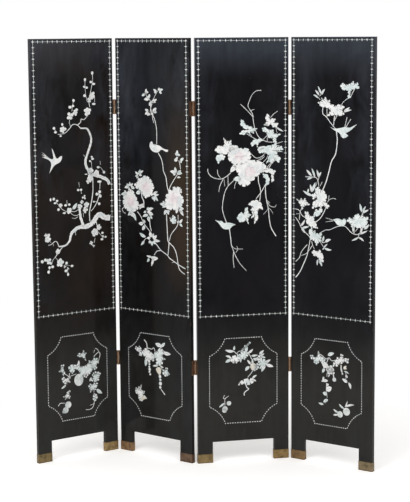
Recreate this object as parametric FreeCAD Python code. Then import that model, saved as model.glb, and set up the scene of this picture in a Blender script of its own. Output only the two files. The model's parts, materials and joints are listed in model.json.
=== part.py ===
import FreeCAD, Part
import math
import os

# A four-leaf folding screen, in millimetres and degrees, standing on the floor plane.
# A board's own frame: x across it from its left edge seen from the front, y from the front
# face to the back one, z up from the floor. The boards are then turned about z and chained
# hinge to hinge, and the whole is centred on the origin.

# The board: one flat panel with a rectangular notch at the bottom that leaves two legs.
BOARD_WIDTH = 406.0
BOARD_HEIGHT = 1829.0
BOARD_THICKNESS = 19.0
LEG_WIDTH = 66.0
NOTCH_TOP = 91.5
EDGE_EASE = 1.2

# The shoe: a cap of folded brass sheet under each leg.
SHOE_HEIGHT = 40.0
SHOE_SHEET = 0.8

# The hinge: two leaves let into facing board edges, three knuckles and a pin.
HINGE_HEIGHT = 63.5
UPPER_HINGE_DROP = 296.0
LOWER_HINGE_RISE = 420.0
BARREL_RADIUS = 5.0
BARREL_REACH = 6.5
LEAF_THICKNESS = 2.0
LEAF_DEPTH = 16.0
LEAF_LIP = 3.0
MORTISE_CLEARANCE = 0.1
KNUCKLE_GAP = 0.4
PIN_RADIUS = 2.5
PIN_CLEARANCE = 0.08
PIN_END = 1.0
SCREW_HEAD_RADIUS = 3.5
SCREW_SHANK_RADIUS = 1.75
SCREW_LENGTH = 16.0
SCREW_SPREAD = 38.0
SCREW_INSET = 9.0
SCREW_FLATS = 8

# The inlay: thin shell plates on the front face.
INLAY_THICKNESS = 0.8
BORDER_MARGIN = 12.0
BORDER_TOP_MARGIN = 10.5
BORDER_FOOT = 643.0
BORDER_WIDTH = 4.0
CARTOUCHE_RISE = 358.5
CARTOUCHE_HALF_WIDTH = 152.0
CARTOUCHE_HALF_HEIGHT = 188.5
CARTOUCHE_HALF_TOP = 82.0
CARTOUCHE_HALF_SIDE = 112.5
CARTOUCHE_SAG = 11.0
CARTOUCHE_LINE = 4.0
CARTOUCHE_CORNER_RUNS = 3
ROUND_FLATS = 10

# How each board is turned at rest, the face its right-hand hinge is on, and a named
# overrun for cuts.
REST_YAWS = (38.54, -34.59, 15.81, -32.56)
HINGE_FACES = ("front", "back", "front")
OVERRUN = 5.0

# The ornament is drawn on a squared grid as wide as 406 shares of a board. The flowers are
# stretched to fill the border, and the fruit keeps its shape inside the cartouche; the
# middle and size of both frames on that grid are given here. A stem holds its two end
# widths and its points; a leaf its root, its tip and its width; a flower its centre,
# radius, petals and turn; a round fruit its centre and radius; a plate or a bird its
# outline.
FLOWER_MIDDLE_SHARES = (203, 1230.75)
FLOWER_SIZE_SHARES = (382, 1175.5)
FRUIT_MIDDLE_SHARES = (203, 358.5)
FRUIT_SIZE_SHARES = (304, 377)
LEAF_SHOULDER_SHARE = 0.42
PETAL_DIP_SHARE = 0.6
PLUM_SHARES = {
    "stems": [
        (16, 7, [(382, 1196), (368, 1216), (340, 1230), (305, 1240), (282, 1252), (266, 1278),
        (261, 1305), (276, 1345), (291, 1385), (289, 1412), (272, 1442), (240, 1446)]),
        (7, 4, [(240, 1446), (222, 1461), (200, 1463), (184, 1446), (160, 1428), (126, 1424)]),
        (6, 5, [(224, 1460), (240, 1472), (243, 1485), (258, 1483), (277, 1500)]),
        (6, 4, [(288, 1535), (283, 1565), (293, 1600), (303, 1645), (304, 1678)]),
        (7, 9, [(297, 1222), (296, 1170), (288, 1125), (277, 1080), (278, 1040)]),
        (26, 22, [(382, 1048), (355, 1052), (326, 1066), (308, 1052), (292, 1030)]),
        (22, 12, [(292, 1030), (262, 1019), (222, 1018), (190, 1000), (180, 985)]),
        (11, 6, [(180, 985), (174, 962), (152, 944), (120, 942)]),
        (6, 5, [(120, 942), (113, 960), (102, 966), (84, 955), (69, 952)]),
        (14, 10, [(245, 1020), (232, 1060), (227, 1098)]),
        (4, 3, [(165, 1088), (140, 1103), (112, 1134)]),
    ],
    "leaves": [
        (192, 1098, 214, 1124, 18),
    ],
    "flowers": [
        (276, 1517, 19, 5, 20), (300, 1584, 17, 5, 50), (189, 1500, 18, 4, 30), (286, 1258, 17, 5, 10),
        (284, 1228, 17, 5, 45), (326, 1157, 18, 3, 60), (125, 871, 18, 5, 10), (70, 882, 15, 4, 50),
        (66, 978, 16, 5, 0), (302, 990, 19, 5, 35),
    ],
    "birds": [
        [(48, 1351), (64, 1344), (80, 1328), (92, 1321), (104, 1321), (101, 1342), (92, 1371),
        (110, 1349), (120, 1321), (133, 1331), (145, 1332), (142, 1314), (132, 1300), (108, 1294),
        (92, 1275), (80, 1259), (90, 1290), (89, 1306), (80, 1318), (46, 1334)],
    ],
}
PEONY_SHARES = {
    "stems": [
        (6, 5, [(228, 1378), (229, 1420), (227, 1450), (218, 1484), (209, 1500), (197, 1530),
        (200, 1556)]),
        (7, 7, [(236, 1340), (250, 1321), (259, 1297), (264, 1265), (277, 1238), (284, 1196),
        (291, 1178), (290, 1158)]),
        (6, 5, [(291, 1180), (305, 1208), (328, 1238), (344, 1258)]),
        (8, 8, [(278, 1080), (280, 1035), (284, 968), (290, 955), (284, 903)]),
        (7, 6, [(379, 851), (345, 864), (320, 876), (292, 890), (280, 902), (246, 920), (226, 938),
        (212, 952)]),
        (6, 7, [(376, 827), (352, 840), (341, 858), (332, 905), (318, 936), (288, 960)]),
        (6, 5, [(292, 965), (304, 996), (338, 1036), (342, 1080)]),
        (6, 5, [(115, 1080), (134, 1060), (152, 1030), (198, 985)]),
        (9, 8, [(138, 1175), (142, 1145), (151, 1128), (152, 1100)]),
    ],
    "leaves": [
        (198, 1556, 159, 1568, 11), (190, 1562, 196, 1593, 10), (200, 1554, 233, 1570, 10),
        (163, 1584, 174, 1616, 8), (196, 1520, 164, 1526, 11), (196, 1514, 164, 1500, 12),
        (204, 1512, 230, 1536, 14), (120, 1232, 132, 1266, 10), (92, 1178, 42, 1180, 15),
        (56, 1160, 20, 1147, 14), (136, 1176, 108, 1149, 18), (196, 1152, 236, 1172, 12),
        (198, 1150, 233, 1136, 12), (112, 1100, 162, 1092, 20), (92, 1084, 60, 1062, 20),
        (86, 1076, 107, 1040, 18), (158, 1060, 206, 1076, 28), (150, 1094, 206, 1102, 12),
        (292, 1100, 260, 1078, 20), (352, 1104, 322, 1090, 16), (344, 1104, 374, 1082, 18),
        (344, 1258, 302, 1266, 16), (336, 1258, 366, 1262, 20), (344, 1318, 342, 1356, 14),
        (150, 1030, 118, 1029, 15), (164, 1022, 140, 1002, 15), (166, 972, 121, 986, 14),
        (166, 966, 131, 934, 9), (202, 966, 180, 998, 18), (204, 960, 182, 940, 18),
        (214, 952, 222, 985, 15), (212, 956, 243, 959, 12), (188, 884, 229, 884, 22),
        (202, 884, 190, 846, 14), (192, 888, 163, 891, 11),
    ],
    "plates": [
        [(98, 1198), (118, 1210), (122, 1225), (141, 1228), (154, 1239), (178, 1236), (195, 1221),
        (205, 1203), (211, 1190), (201, 1174), (204, 1158), (180, 1150), (162, 1141), (150, 1153),
        (134, 1176), (110, 1182)],
        [(60, 1164), (78, 1176), (94, 1168), (103, 1149), (123, 1112), (119, 1092), (100, 1080),
        (64, 1079), (42, 1093), (33, 1114), (37, 1146)],
        [(314, 1198), (352, 1199), (363, 1190), (352, 1172), (368, 1160), (373, 1142), (360, 1118),
        (337, 1104), (292, 1101), (262, 1112), (272, 1124), (272, 1142), (284, 1158), (318, 1178)],
        [(297, 1066), (304, 1062), (313, 1077), (325, 1070), (330, 1056), (326, 1044), (312, 1042),
        (301, 1052)],
    ],
    "birds": [
        [(204, 1391), (194, 1388), (187, 1378), (187, 1364), (197, 1349), (216, 1341), (238, 1341),
        (253, 1357), (286, 1343), (293, 1356), (260, 1363), (246, 1373), (224, 1378), (208, 1377)],
    ],
}
ROSE_SHARES = {
    "stems": [
        (4, 5, [(286, 1606), (264, 1604), (246, 1588), (232, 1558), (229, 1538), (248, 1506),
        (250, 1484), (257, 1448), (270, 1416), (288, 1396)]),
        (4, 5, [(195, 1550), (226, 1520), (249, 1496)]),
        (5, 5, [(51, 1280), (54, 1262), (70, 1244), (100, 1235), (124, 1240), (152, 1260)]),
        (5, 5, [(170, 1232), (140, 1204), (124, 1174), (115, 1125), (116, 1094), (132, 1046)]),
        (6, 6, [(272, 1244), (273, 1218), (282, 1180), (278, 1134)]),
        (6, 7, [(302, 1204), (306, 1150), (316, 1100), (320, 1060), (328, 1020), (350, 982)]),
        (7, 3, [(144, 1020), (150, 976), (153, 950), (166, 914), (188, 872), (219, 836)]),
    ],
    "leaves": [
        (176, 1290, 150, 1262, 24), (198, 1232, 162, 1232, 26),
    ],
    "plates": [
        [(142, 1352), (146, 1372), (186, 1362), (228, 1361), (237, 1342), (240, 1322), (222, 1303),
        (200, 1294), (162, 1298), (142, 1316), (140, 1338)],
        [(160, 1292), (200, 1306), (244, 1311), (284, 1303), (300, 1292), (316, 1272), (290, 1262),
        (274, 1248), (246, 1232), (232, 1208), (208, 1199), (184, 1214), (190, 1244), (176, 1268)],
        [(83, 1358), (98, 1376), (116, 1374), (124, 1386), (121, 1409), (132, 1398), (146, 1396),
        (153, 1398), (158, 1378), (180, 1374), (186, 1362), (150, 1350), (132, 1340), (98, 1346)],
        [(98, 1300), (88, 1324), (92, 1334), (112, 1340), (127, 1330), (120, 1316), (110, 1314)],
        [(198, 1484), (208, 1480), (216, 1462), (246, 1452), (240, 1444), (214, 1446), (196, 1462)],
        [(190, 1424), (204, 1438), (226, 1442), (248, 1446), (268, 1446), (256, 1434), (252, 1424),
        (240, 1432), (236, 1420), (222, 1430), (212, 1420)],
        [(240, 1382), (252, 1396), (284, 1402), (292, 1394), (276, 1384), (268, 1366), (262, 1380),
        (246, 1370)],
        [(312, 1506), (304, 1488), (308, 1474), (298, 1460), (318, 1456), (328, 1462), (336, 1450),
        (352, 1450), (360, 1466), (344, 1468), (348, 1484), (332, 1486), (324, 1484), (320, 1500)],
        [(290, 1446), (302, 1450), (318, 1440), (338, 1438), (344, 1422), (371, 1420), (352, 1402),
        (352, 1384), (338, 1386), (336, 1400), (318, 1406), (306, 1428), (294, 1432)],
        [(270, 1356), (276, 1366), (330, 1374), (352, 1384), (356, 1366), (374, 1368), (381, 1352),
        (362, 1350), (356, 1332), (370, 1318), (362, 1298), (346, 1308), (330, 1298), (318, 1302),
        (308, 1296), (318, 1330), (296, 1342), (278, 1340)],
        [(298, 1272), (326, 1272), (348, 1262), (340, 1244), (341, 1222), (330, 1216), (332, 1250),
        (318, 1258), (286, 1260)],
        [(292, 1252), (312, 1248), (321, 1228), (318, 1208), (302, 1200), (306, 1226), (296, 1236)],
        [(228, 1122), (244, 1136), (264, 1140), (284, 1126), (291, 1098), (280, 1104), (270, 1094),
        (270, 1062), (254, 1039), (254, 1066), (240, 1064), (250, 1090), (238, 1098), (246, 1114)],
        [(178, 1066), (186, 1080), (198, 1090), (208, 1084), (214, 1106), (224, 1110), (230, 1086),
        (240, 1078), (228, 1064), (228, 1038), (218, 1054), (206, 1050), (190, 1049)],
    ],
    "birds": [
        [(80, 1062), (100, 1057), (112, 1058), (120, 1047), (136, 1050), (156, 1046), (173, 1038),
        (156, 1030), (148, 1018), (122, 1017), (109, 1027), (98, 1044)],
    ],
}
MAGNOLIA_SHARES = {
    "stems": [
        (8, 8, [(224, 1440), (229, 1402), (225, 1362), (218, 1336), (201, 1310), (190, 1270),
        (176, 1226), (157, 1184)]),
        (6, 6, [(158, 1538), (158, 1510), (176, 1496), (196, 1472), (222, 1446)]),
        (4, 4, [(292, 1580), (270, 1570), (254, 1556), (246, 1540)]),
        (9, 6, [(24, 803), (46, 830), (62, 862), (80, 900), (90, 940), (98, 978)]),
        (6, 5, [(24, 872), (42, 890), (54, 918), (82, 950)]),
        (5, 5, [(146, 1004), (172, 1018), (194, 1021), (232, 1037), (268, 1040), (296, 1018),
        (316, 1010), (336, 1010)]),
        (7, 6, [(176, 1118), (164, 1092), (146, 1066), (120, 1046)]),
        (5, 5, [(22, 1100), (40, 1095), (58, 1072), (78, 1064)]),
        (5, 5, [(22, 1064), (42, 1040), (54, 1018), (94, 984)]),
        (5, 4, [(72, 1240), (118, 1240), (134, 1228), (141, 1194)]),
    ],
    "leaves": [
        (152, 1590, 134, 1624, 10), (152, 1588, 168, 1613, 10), (140, 1586, 121, 1608, 10),
        (136, 1574, 110, 1588, 9), (260, 1522, 289, 1539, 10), (260, 1518, 298, 1528, 9),
        (104, 1244, 78, 1270, 12), (120, 1240, 104, 1277, 11), (138, 1240, 129, 1272, 12),
        (108, 1240, 80, 1228, 11), (104, 1176, 96, 1209, 12), (104, 1176, 122, 1219, 15),
        (108, 1160, 60, 1180, 13), (48, 1026, 70, 1056, 11), (52, 1018, 92, 1028, 11),
        (170, 966, 200, 980, 14), (168, 940, 204, 935, 11), (350, 1104, 339, 1141, 12),
        (352, 1102, 382, 1117, 10), (360, 1034, 384, 1057, 12), (334, 998, 301, 981, 9),
        (334, 998, 360, 983, 9),
    ],
    "plates": [
        [(243, 1626), (254, 1638), (268, 1632), (292, 1638), (305, 1646), (312, 1635), (324, 1641),
        (332, 1618), (300, 1612), (292, 1596), (290, 1578), (280, 1578), (280, 1606), (256, 1611)],
        [(134, 1556), (150, 1562), (152, 1576), (160, 1569), (171, 1579), (178, 1567), (192, 1566),
        (194, 1550), (208, 1548), (218, 1540), (232, 1549), (263, 1540), (252, 1526), (262, 1510),
        (244, 1504), (216, 1504), (180, 1502), (196, 1520), (184, 1532), (150, 1540)],
        [(122, 1190), (134, 1198), (150, 1188), (164, 1184), (178, 1162), (174, 1136), (191, 1122),
        (180, 1110), (166, 1120), (134, 1114), (107, 1106), (112, 1134), (130, 1146), (126, 1158),
        (112, 1145), (105, 1164), (120, 1176)],
        [(28, 1143), (42, 1138), (52, 1147), (60, 1139), (70, 1148), (80, 1134), (94, 1122),
        (70, 1115), (56, 1099), (46, 1118)],
        [(70, 1090), (86, 1089), (94, 1074), (108, 1072), (124, 1044), (134, 1022), (120, 1024),
        (94, 1032), (80, 1042), (74, 1066)],
        [(150, 1120), (156, 1098), (140, 1080), (112, 1070), (116, 1084), (126, 1104), (140, 1102)],
        [(92, 1010), (106, 1026), (108, 1010), (122, 1012), (124, 1002), (154, 1002), (152, 976),
        (158, 966), (142, 964), (128, 949), (118, 966), (98, 974)],
        [(106, 918), (116, 928), (132, 924), (144, 931), (160, 908), (162, 880), (146, 884),
        (130, 902), (118, 903)],
        [(278, 1064), (290, 1079), (302, 1074), (318, 1090), (332, 1096), (344, 1088), (352, 1100),
        (358, 1086), (379, 1086), (372, 1056), (362, 1042), (336, 1040), (300, 1040), (294, 1052)],
    ],
    "birds": [
        [(190, 1457), (210, 1449), (240, 1452), (264, 1459), (282, 1455), (300, 1460), (326, 1471),
        (310, 1456), (292, 1440), (270, 1431), (284, 1420), (262, 1407), (247, 1413), (242, 1428),
        (214, 1440)],
        [(206, 1064), (216, 1069), (234, 1074), (256, 1066), (262, 1076), (273, 1070), (277, 1061),
        (266, 1040), (244, 1038), (228, 1044), (220, 1056)],
    ],
}
MELON_SHARES = {
    "stems": [
        (5, 4, [(286, 242), (278, 214), (262, 204), (240, 205)]),
    ],
    "leaves": [
        (270, 350, 300, 328, 18), (288, 290, 318, 271, 20), (281, 276, 281, 240, 20),
    ],
    "flowers": [
        (288, 358, 18, 4, 20), (277, 302, 23, 5, 10), (143, 350, 19, 4, 40), (146, 284, 19, 5, 30),
    ],
    "rounds": [
        (206, 343, 23), (150, 244, 15), (134, 222, 15),
    ],
    "plates": [
        [(156, 408), (170, 416), (184, 413), (200, 419), (212, 409), (240, 408), (251, 414),
        (253, 429), (264, 430), (276, 425), (291, 433), (298, 420), (291, 403), (284, 378), (262, 366),
        (247, 366), (235, 354), (214, 378), (196, 392), (182, 384), (173, 380), (163, 391)],
        [(203, 452), (212, 463), (225, 460), (233, 473), (237, 461), (248, 460), (241, 445),
        (246, 424), (228, 443), (214, 446)],
        [(107, 393), (118, 405), (119, 420), (134, 420), (130, 405), (138, 384), (129, 375),
        (121, 390)],
    ],
}
GRAPE_SHARES = {
    "leaves": [
        (130, 468, 90, 469, 24), (238, 498, 205, 503, 22), (236, 496, 261, 516, 18),
        (252, 470, 293, 468, 20), (150, 430, 150, 398, 18), (250, 384, 277, 404, 16),
        (244, 378, 284, 378, 20), (232, 370, 232, 340, 18), (233, 342, 233, 312, 17),
    ],
    "plates": [
        [(114, 443), (118, 456), (134, 466), (150, 478), (168, 470), (184, 462), (198, 446),
        (196, 426), (176, 430), (158, 424), (148, 434), (150, 443)],
        [(186, 452), (210, 470), (226, 486), (237, 497), (250, 484), (262, 474), (250, 462),
        (248, 452), (263, 443), (245, 436), (248, 424), (232, 412), (212, 416), (208, 440)],
        [(92, 296), (108, 293), (127, 311), (127, 296), (146, 281), (141, 272), (154, 256), (122, 238),
        (108, 243), (112, 257), (91, 273)],
        [(206, 394), (228, 404), (240, 402), (240, 376), (228, 366), (214, 378)],
    ],
}
TRUMPET_SHARES = {
    "stems": [
        (8, 7, [(212, 344), (218, 326), (226, 318), (208, 304), (206, 290)]),
    ],
    "leaves": [
        (164, 492, 122, 497, 14), (192, 484, 236, 527, 11), (204, 476, 223, 509, 10),
        (212, 474, 246, 496, 12), (290, 446, 296, 485, 11), (278, 452, 244, 468, 12),
        (300, 424, 325, 443, 10), (298, 418, 339, 412, 13), (244, 414, 221, 446, 12),
        (242, 414, 208, 401, 16),
    ],
    "flowers": [
        (246, 414, 15, 5, 10), (288, 430, 22, 5, 20),
    ],
    "rounds": [
        (137, 262, 12), (118, 236, 16),
    ],
    "plates": [
        [(122, 473), (146, 464), (180, 464), (196, 476), (222, 478), (218, 460), (200, 458),
        (190, 438), (184, 446), (154, 441), (146, 448), (123, 440), (140, 456)],
        [(180, 338), (192, 354), (212, 362), (246, 362), (246, 346), (226, 337), (204, 342)],
    ],
}
GOURD_SHARES = {
    "stems": [
        (4, 4, [(180, 358), (180, 320), (184, 294)]),
    ],
    "leaves": [
        (186, 479, 218, 492, 18), (252, 448, 260, 405, 14), (284, 372, 258, 386, 16),
        (188, 368, 154, 362, 14), (178, 326, 206, 342, 28), (268, 256, 243, 274, 10),
        (276, 266, 318, 279, 10), (290, 374, 300, 346, 13),
    ],
    "rounds": [
        (278, 246, 19), (248, 230, 17), (218, 377, 12),
    ],
    "plates": [
        [(98, 464), (102, 473), (122, 466), (130, 456), (137, 494), (144, 478), (160, 464), (174, 450),
        (158, 444), (140, 436), (124, 436), (118, 450)],
        [(162, 432), (176, 442), (192, 440), (208, 436), (220, 420), (216, 404), (190, 404),
        (176, 414), (164, 398), (155, 408)],
        [(214, 448), (224, 462), (234, 476), (246, 474), (250, 491), (262, 488), (262, 474),
        (274, 476), (288, 475), (286, 456), (270, 462), (256, 452), (244, 448), (232, 436)],
    ],
}
UPPER_SHARES = (PLUM_SHARES, PEONY_SHARES, ROSE_SHARES, MAGNOLIA_SHARES)
LOWER_SHARES = (MELON_SHARES, GRAPE_SHARES, TRUMPET_SHARES, GOURD_SHARES)

# Worked out from the sizes above: the hinge axis stands this far out from the edge, and the
# leaf's outer plane meets the barrel this far out from the face.
AXIS_OUT = BARREL_RADIUS - LEAF_THICKNESS
BARREL_MEET = BARREL_REACH - math.sqrt(BARREL_RADIUS ** 2 - AXIS_OUT ** 2)
HINGE_MIDDLES = (LOWER_HINGE_RISE, BOARD_HEIGHT - UPPER_HINGE_DROP)
KNUCKLES = 3
KNUCKLE_HEIGHT = (HINGE_HEIGHT - (KNUCKLES - 1) * KNUCKLE_GAP) / KNUCKLES


def box(corner, far_corner):
    """A box between two opposite corners, given in any order."""
    low = [min(a, b) for a, b in zip(corner, far_corner)]
    high = [max(a, b) for a, b in zip(corner, far_corner)]
    sizes = [b - a for a, b in zip(low, high)]
    return Part.makeBox(*sizes, FreeCAD.Vector(*low))


def joined(shapes):
    """One shape from several that touch or overlap."""
    if len(shapes) == 1:
        return shapes[0]
    return shapes[0].multiFuse(shapes[1:]).removeSplitter()


def direction(yaw):
    """A board's own x and y directions at a yaw."""
    turn = math.radians(yaw)
    along = FreeCAD.Vector(math.cos(turn), math.sin(turn), 0)
    back = FreeCAD.Vector(-math.sin(turn), math.cos(turn), 0)
    return along, back


def hinge_spot(side, face, out, proud, height):
    """A point in a board's frame from a hinge's own sizes: out from the edge, proud of the face."""
    across = BOARD_WIDTH + out if side == "right" else -out
    depth = -proud if face == "front" else BOARD_THICKNESS + proud
    return FreeCAD.Vector(across, depth, height)


def chain():
    """Board origins and hinge axes, before centring."""
    origins = [FreeCAD.Vector(0, 0, 0)]
    axes = []
    for index, face in enumerate(HINGE_FACES):
        along, back = direction(REST_YAWS[index])
        spot = hinge_spot("right", face, AXIS_OUT, BARREL_REACH, 0)
        axis = origins[index] + along * spot.x + back * spot.y
        along, back = direction(REST_YAWS[index + 1])
        spot = hinge_spot("left", face, AXIS_OUT, BARREL_REACH, 0)
        axes.append(axis)
        origins.append(axis - along * spot.x - back * spot.y)
    return origins, axes


def centred():
    """Board origins and hinge axes about the middle of the screen's footprint."""
    origins, axes = chain()
    reach = FreeCAD.Vector(BARREL_RADIUS, BARREL_RADIUS, 0)
    corners = [axis + reach for axis in axes] + [axis - reach for axis in axes]
    for origin, yaw in zip(origins, REST_YAWS):
        along, back = direction(yaw)
        for across in (-SHOE_SHEET, BOARD_WIDTH + SHOE_SHEET):
            for depth in (-SHOE_SHEET, BOARD_THICKNESS + SHOE_SHEET):
                corners.append(origin + along * across + back * depth)
    xs = [corner.x for corner in corners]
    ys = [corner.y for corner in corners]
    middle = FreeCAD.Vector((min(xs) + max(xs)) / 2, (min(ys) + max(ys)) / 2, 0)
    return [origin - middle for origin in origins], [axis - middle for axis in axes]


ORIGINS, AXES = centred()


def hinge_sides(number):
    """The hinged edges of a board, each with the face its knuckles stand out from."""
    sides = []
    if number > 1:
        sides.append(("left", HINGE_FACES[number - 2]))
    if number <= len(HINGE_FACES):
        sides.append(("right", HINGE_FACES[number - 1]))
    return sides


def board():
    """The plain board with its legs, its long edges eased."""
    left = LEG_WIDTH
    right = BOARD_WIDTH - LEG_WIDTH
    outline = [(0, SHOE_SHEET), (left, SHOE_SHEET), (left, NOTCH_TOP), (right, NOTCH_TOP), (right, SHOE_SHEET),
               (BOARD_WIDTH, SHOE_SHEET), (BOARD_WIDTH, BOARD_HEIGHT), (0, BOARD_HEIGHT)]
    slab = prism([FreeCAD.Vector(x, 0, z) for x, z in outline], BOARD_THICKNESS)
    rims = [edge for edge in slab.Edges if edge.BoundBox.YLength < EDGE_EASE]
    return slab.makeChamfer(EDGE_EASE, rims)


def prism(points, depth):
    """A plate from an outline in a plane of constant y, its thickness running towards +y."""
    return Part.Face(Part.makePolygon(points + points[:1])).extrude(FreeCAD.Vector(0, depth, 0))


def mortise(side, face, middle):
    """The shallow housing that a hinge leaf sits in."""
    half = HINGE_HEIGHT / 2 + MORTISE_CLEARANCE
    return box(hinge_spot(side, face, -LEAF_THICKNESS, -LEAF_DEPTH - MORTISE_CLEARANCE, middle - half),
               hinge_spot(side, face, OVERRUN, OVERRUN, middle + half))


def shoe(side):
    """A brass cap round one leg and under it."""
    left = 0 if side == "left" else BOARD_WIDTH - LEG_WIDTH
    block = box((left - SHOE_SHEET, -SHOE_SHEET, 0),
                (left + LEG_WIDTH + SHOE_SHEET, BOARD_THICKNESS + SHOE_SHEET, SHOE_HEIGHT))
    upright = [edge for edge in block.Edges if edge.BoundBox.ZLength > EDGE_EASE]
    hollow = box((left, 0, SHOE_SHEET), (left + LEG_WIDTH, BOARD_THICKNESS, SHOE_HEIGHT + OVERRUN))
    return block.makeChamfer(SHOE_SHEET, upright).cut(hollow)


def knuckle(side, face, low, bore_radius):
    """One rolled knuckle with the strap that joins it to its leaf."""
    def spot(out, proud):
        return hinge_spot(side, face, out, proud, low)

    end = math.atan2(BARREL_MEET - BARREL_REACH, -AXIS_OUT)
    turn = (math.pi + end) / 2
    arc = Part.Arc(spot(-LEAF_THICKNESS, BARREL_REACH),
                   spot(AXIS_OUT + BARREL_RADIUS * math.cos(turn), BARREL_REACH + BARREL_RADIUS * math.sin(turn)),
                   spot(0, BARREL_MEET)).toShape()
    strap = Part.makePolygon([spot(0, BARREL_MEET), spot(0, 0), spot(-LEAF_THICKNESS, 0),
                              spot(-LEAF_THICKNESS, BARREL_REACH)])
    section = Part.Face(Part.Wire([arc] + strap.Edges))
    roll = section.extrude(FreeCAD.Vector(0, 0, KNUCKLE_HEIGHT))
    hole = Part.makeCylinder(bore_radius, KNUCKLE_HEIGHT + OVERRUN * 2, spot(AXIS_OUT, BARREL_REACH)
                             - FreeCAD.Vector(0, 0, OVERRUN))
    return roll.cut(hole)


def screw(side, face, middle, offset):
    """A countersunk wood screw driven through a leaf into the board's edge, turned in flats."""
    inward = -1 if side == "right" else 1
    head = hinge_spot(side, face, 0, -SCREW_INSET, middle + offset)
    tip = head + FreeCAD.Vector(inward * SCREW_LENGTH, 0, 0)

    def ring(depth, radius):
        turns = [2 * math.pi * step / SCREW_FLATS for step in range(SCREW_FLATS)]
        return [head + FreeCAD.Vector(inward * depth, radius * math.cos(turn), radius * math.sin(turn))
                for turn in turns]

    rim = ring(0, SCREW_HEAD_RADIUS)
    neck = ring(LEAF_THICKNESS, SCREW_SHANK_RADIUS)
    outlines = [rim]
    for step in range(SCREW_FLATS):
        outlines.append([rim[step - 1], rim[step], neck[step], neck[step - 1]])
        outlines.append([neck[step - 1], neck[step], tip])
    faces = [Part.Face(Part.makePolygon(outline + outline[:1])) for outline in outlines]
    solid = Part.Solid(Part.Shell(faces))
    if solid.Volume < 0:
        solid.reverse()
    return solid


def screws(side, face):
    """The screws of one leaf pair, upper and lower."""
    half = SCREW_SPREAD / 2
    return [screw(side, face, middle, offset) for middle in HINGE_MIDDLES for offset in (-half, half)]


def hinge_leaf(side, face, middle, outer):
    """One leaf with its knuckles: the outer two, tight on the pin, or the middle one, free on it.

    The leaf runs on past the board's face up to the barrel, hollowed to clear the other leaf's knuckles.
    """
    base = middle - HINGE_HEIGHT / 2
    plate = box(hinge_spot(side, face, -LEAF_THICKNESS, -LEAF_DEPTH, base),
                hinge_spot(side, face, 0, LEAF_LIP, base + HINGE_HEIGHT))
    foot = hinge_spot(side, face, AXIS_OUT, BARREL_REACH, base - OVERRUN)
    plate = plate.cut(Part.makeCylinder(BARREL_RADIUS + KNUCKLE_GAP, HINGE_HEIGHT + OVERRUN * 2, foot))
    numbers = (0, 2) if outer else (1,)
    bore_radius = PIN_RADIUS if outer else PIN_RADIUS + PIN_CLEARANCE
    rolls = [knuckle(side, face, base + index * (KNUCKLE_HEIGHT + KNUCKLE_GAP), bore_radius) for index in numbers]
    return joined([plate] + rolls)


def hinge_pin(face, middle):
    """The pin through three knuckles, standing a little out at both ends."""
    foot = hinge_spot("right", face, AXIS_OUT, BARREL_REACH, middle - HINGE_HEIGHT / 2 - PIN_END)
    return Part.makeCylinder(PIN_RADIUS, HINGE_HEIGHT + PIN_END * 2, foot)


def border():
    """The thin frame line round the upper picture."""
    def ring(inset):
        left = BORDER_MARGIN + inset
        right = BOARD_WIDTH - BORDER_MARGIN - inset
        return box((left, -INLAY_THICKNESS, BORDER_FOOT + inset),
                   (right, 0, BOARD_HEIGHT - BORDER_TOP_MARGIN - inset))

    line = ring(0)
    inner = ring(BORDER_WIDTH)
    inner.translate(FreeCAD.Vector(0, -INLAY_THICKNESS, 0))
    inner = joined([inner, ring(BORDER_WIDTH)])
    return line.cut(inner)


def cartouche_plate(inset):
    """The eight-cornered panel with hollow corners, drawn in by an inset."""
    wide = CARTOUCHE_HALF_WIDTH - inset
    tall = CARTOUCHE_HALF_HEIGHT - inset
    top = CARTOUCHE_HALF_TOP - inset / 2
    flank = CARTOUCHE_HALF_SIDE - inset / 2
    chord = math.hypot(wide - top, tall - flank)
    corner = []
    for step in range(CARTOUCHE_CORNER_RUNS + 1):
        share = step / CARTOUCHE_CORNER_RUNS
        sag = CARTOUCHE_SAG * (1 - (2 * share - 1) ** 2)
        corner.append((top + (wide - top) * share - sag * (tall - flank) / chord,
                       tall + (flank - tall) * share - sag * (wide - top) / chord))
    points = []
    for right, up in ((1, 1), (1, -1), (-1, -1), (-1, 1)):
        run = corner if right == up else corner[::-1]
        points += [FreeCAD.Vector(BOARD_WIDTH / 2 + right * x, -INLAY_THICKNESS, CARTOUCHE_RISE + up * z)
                   for x, z in run]
    return prism(points, INLAY_THICKNESS)


def cartouche():
    """The cartouche's frame line."""
    return cartouche_plate(0).cut(cartouche_plate(CARTOUCHE_LINE))


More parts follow.
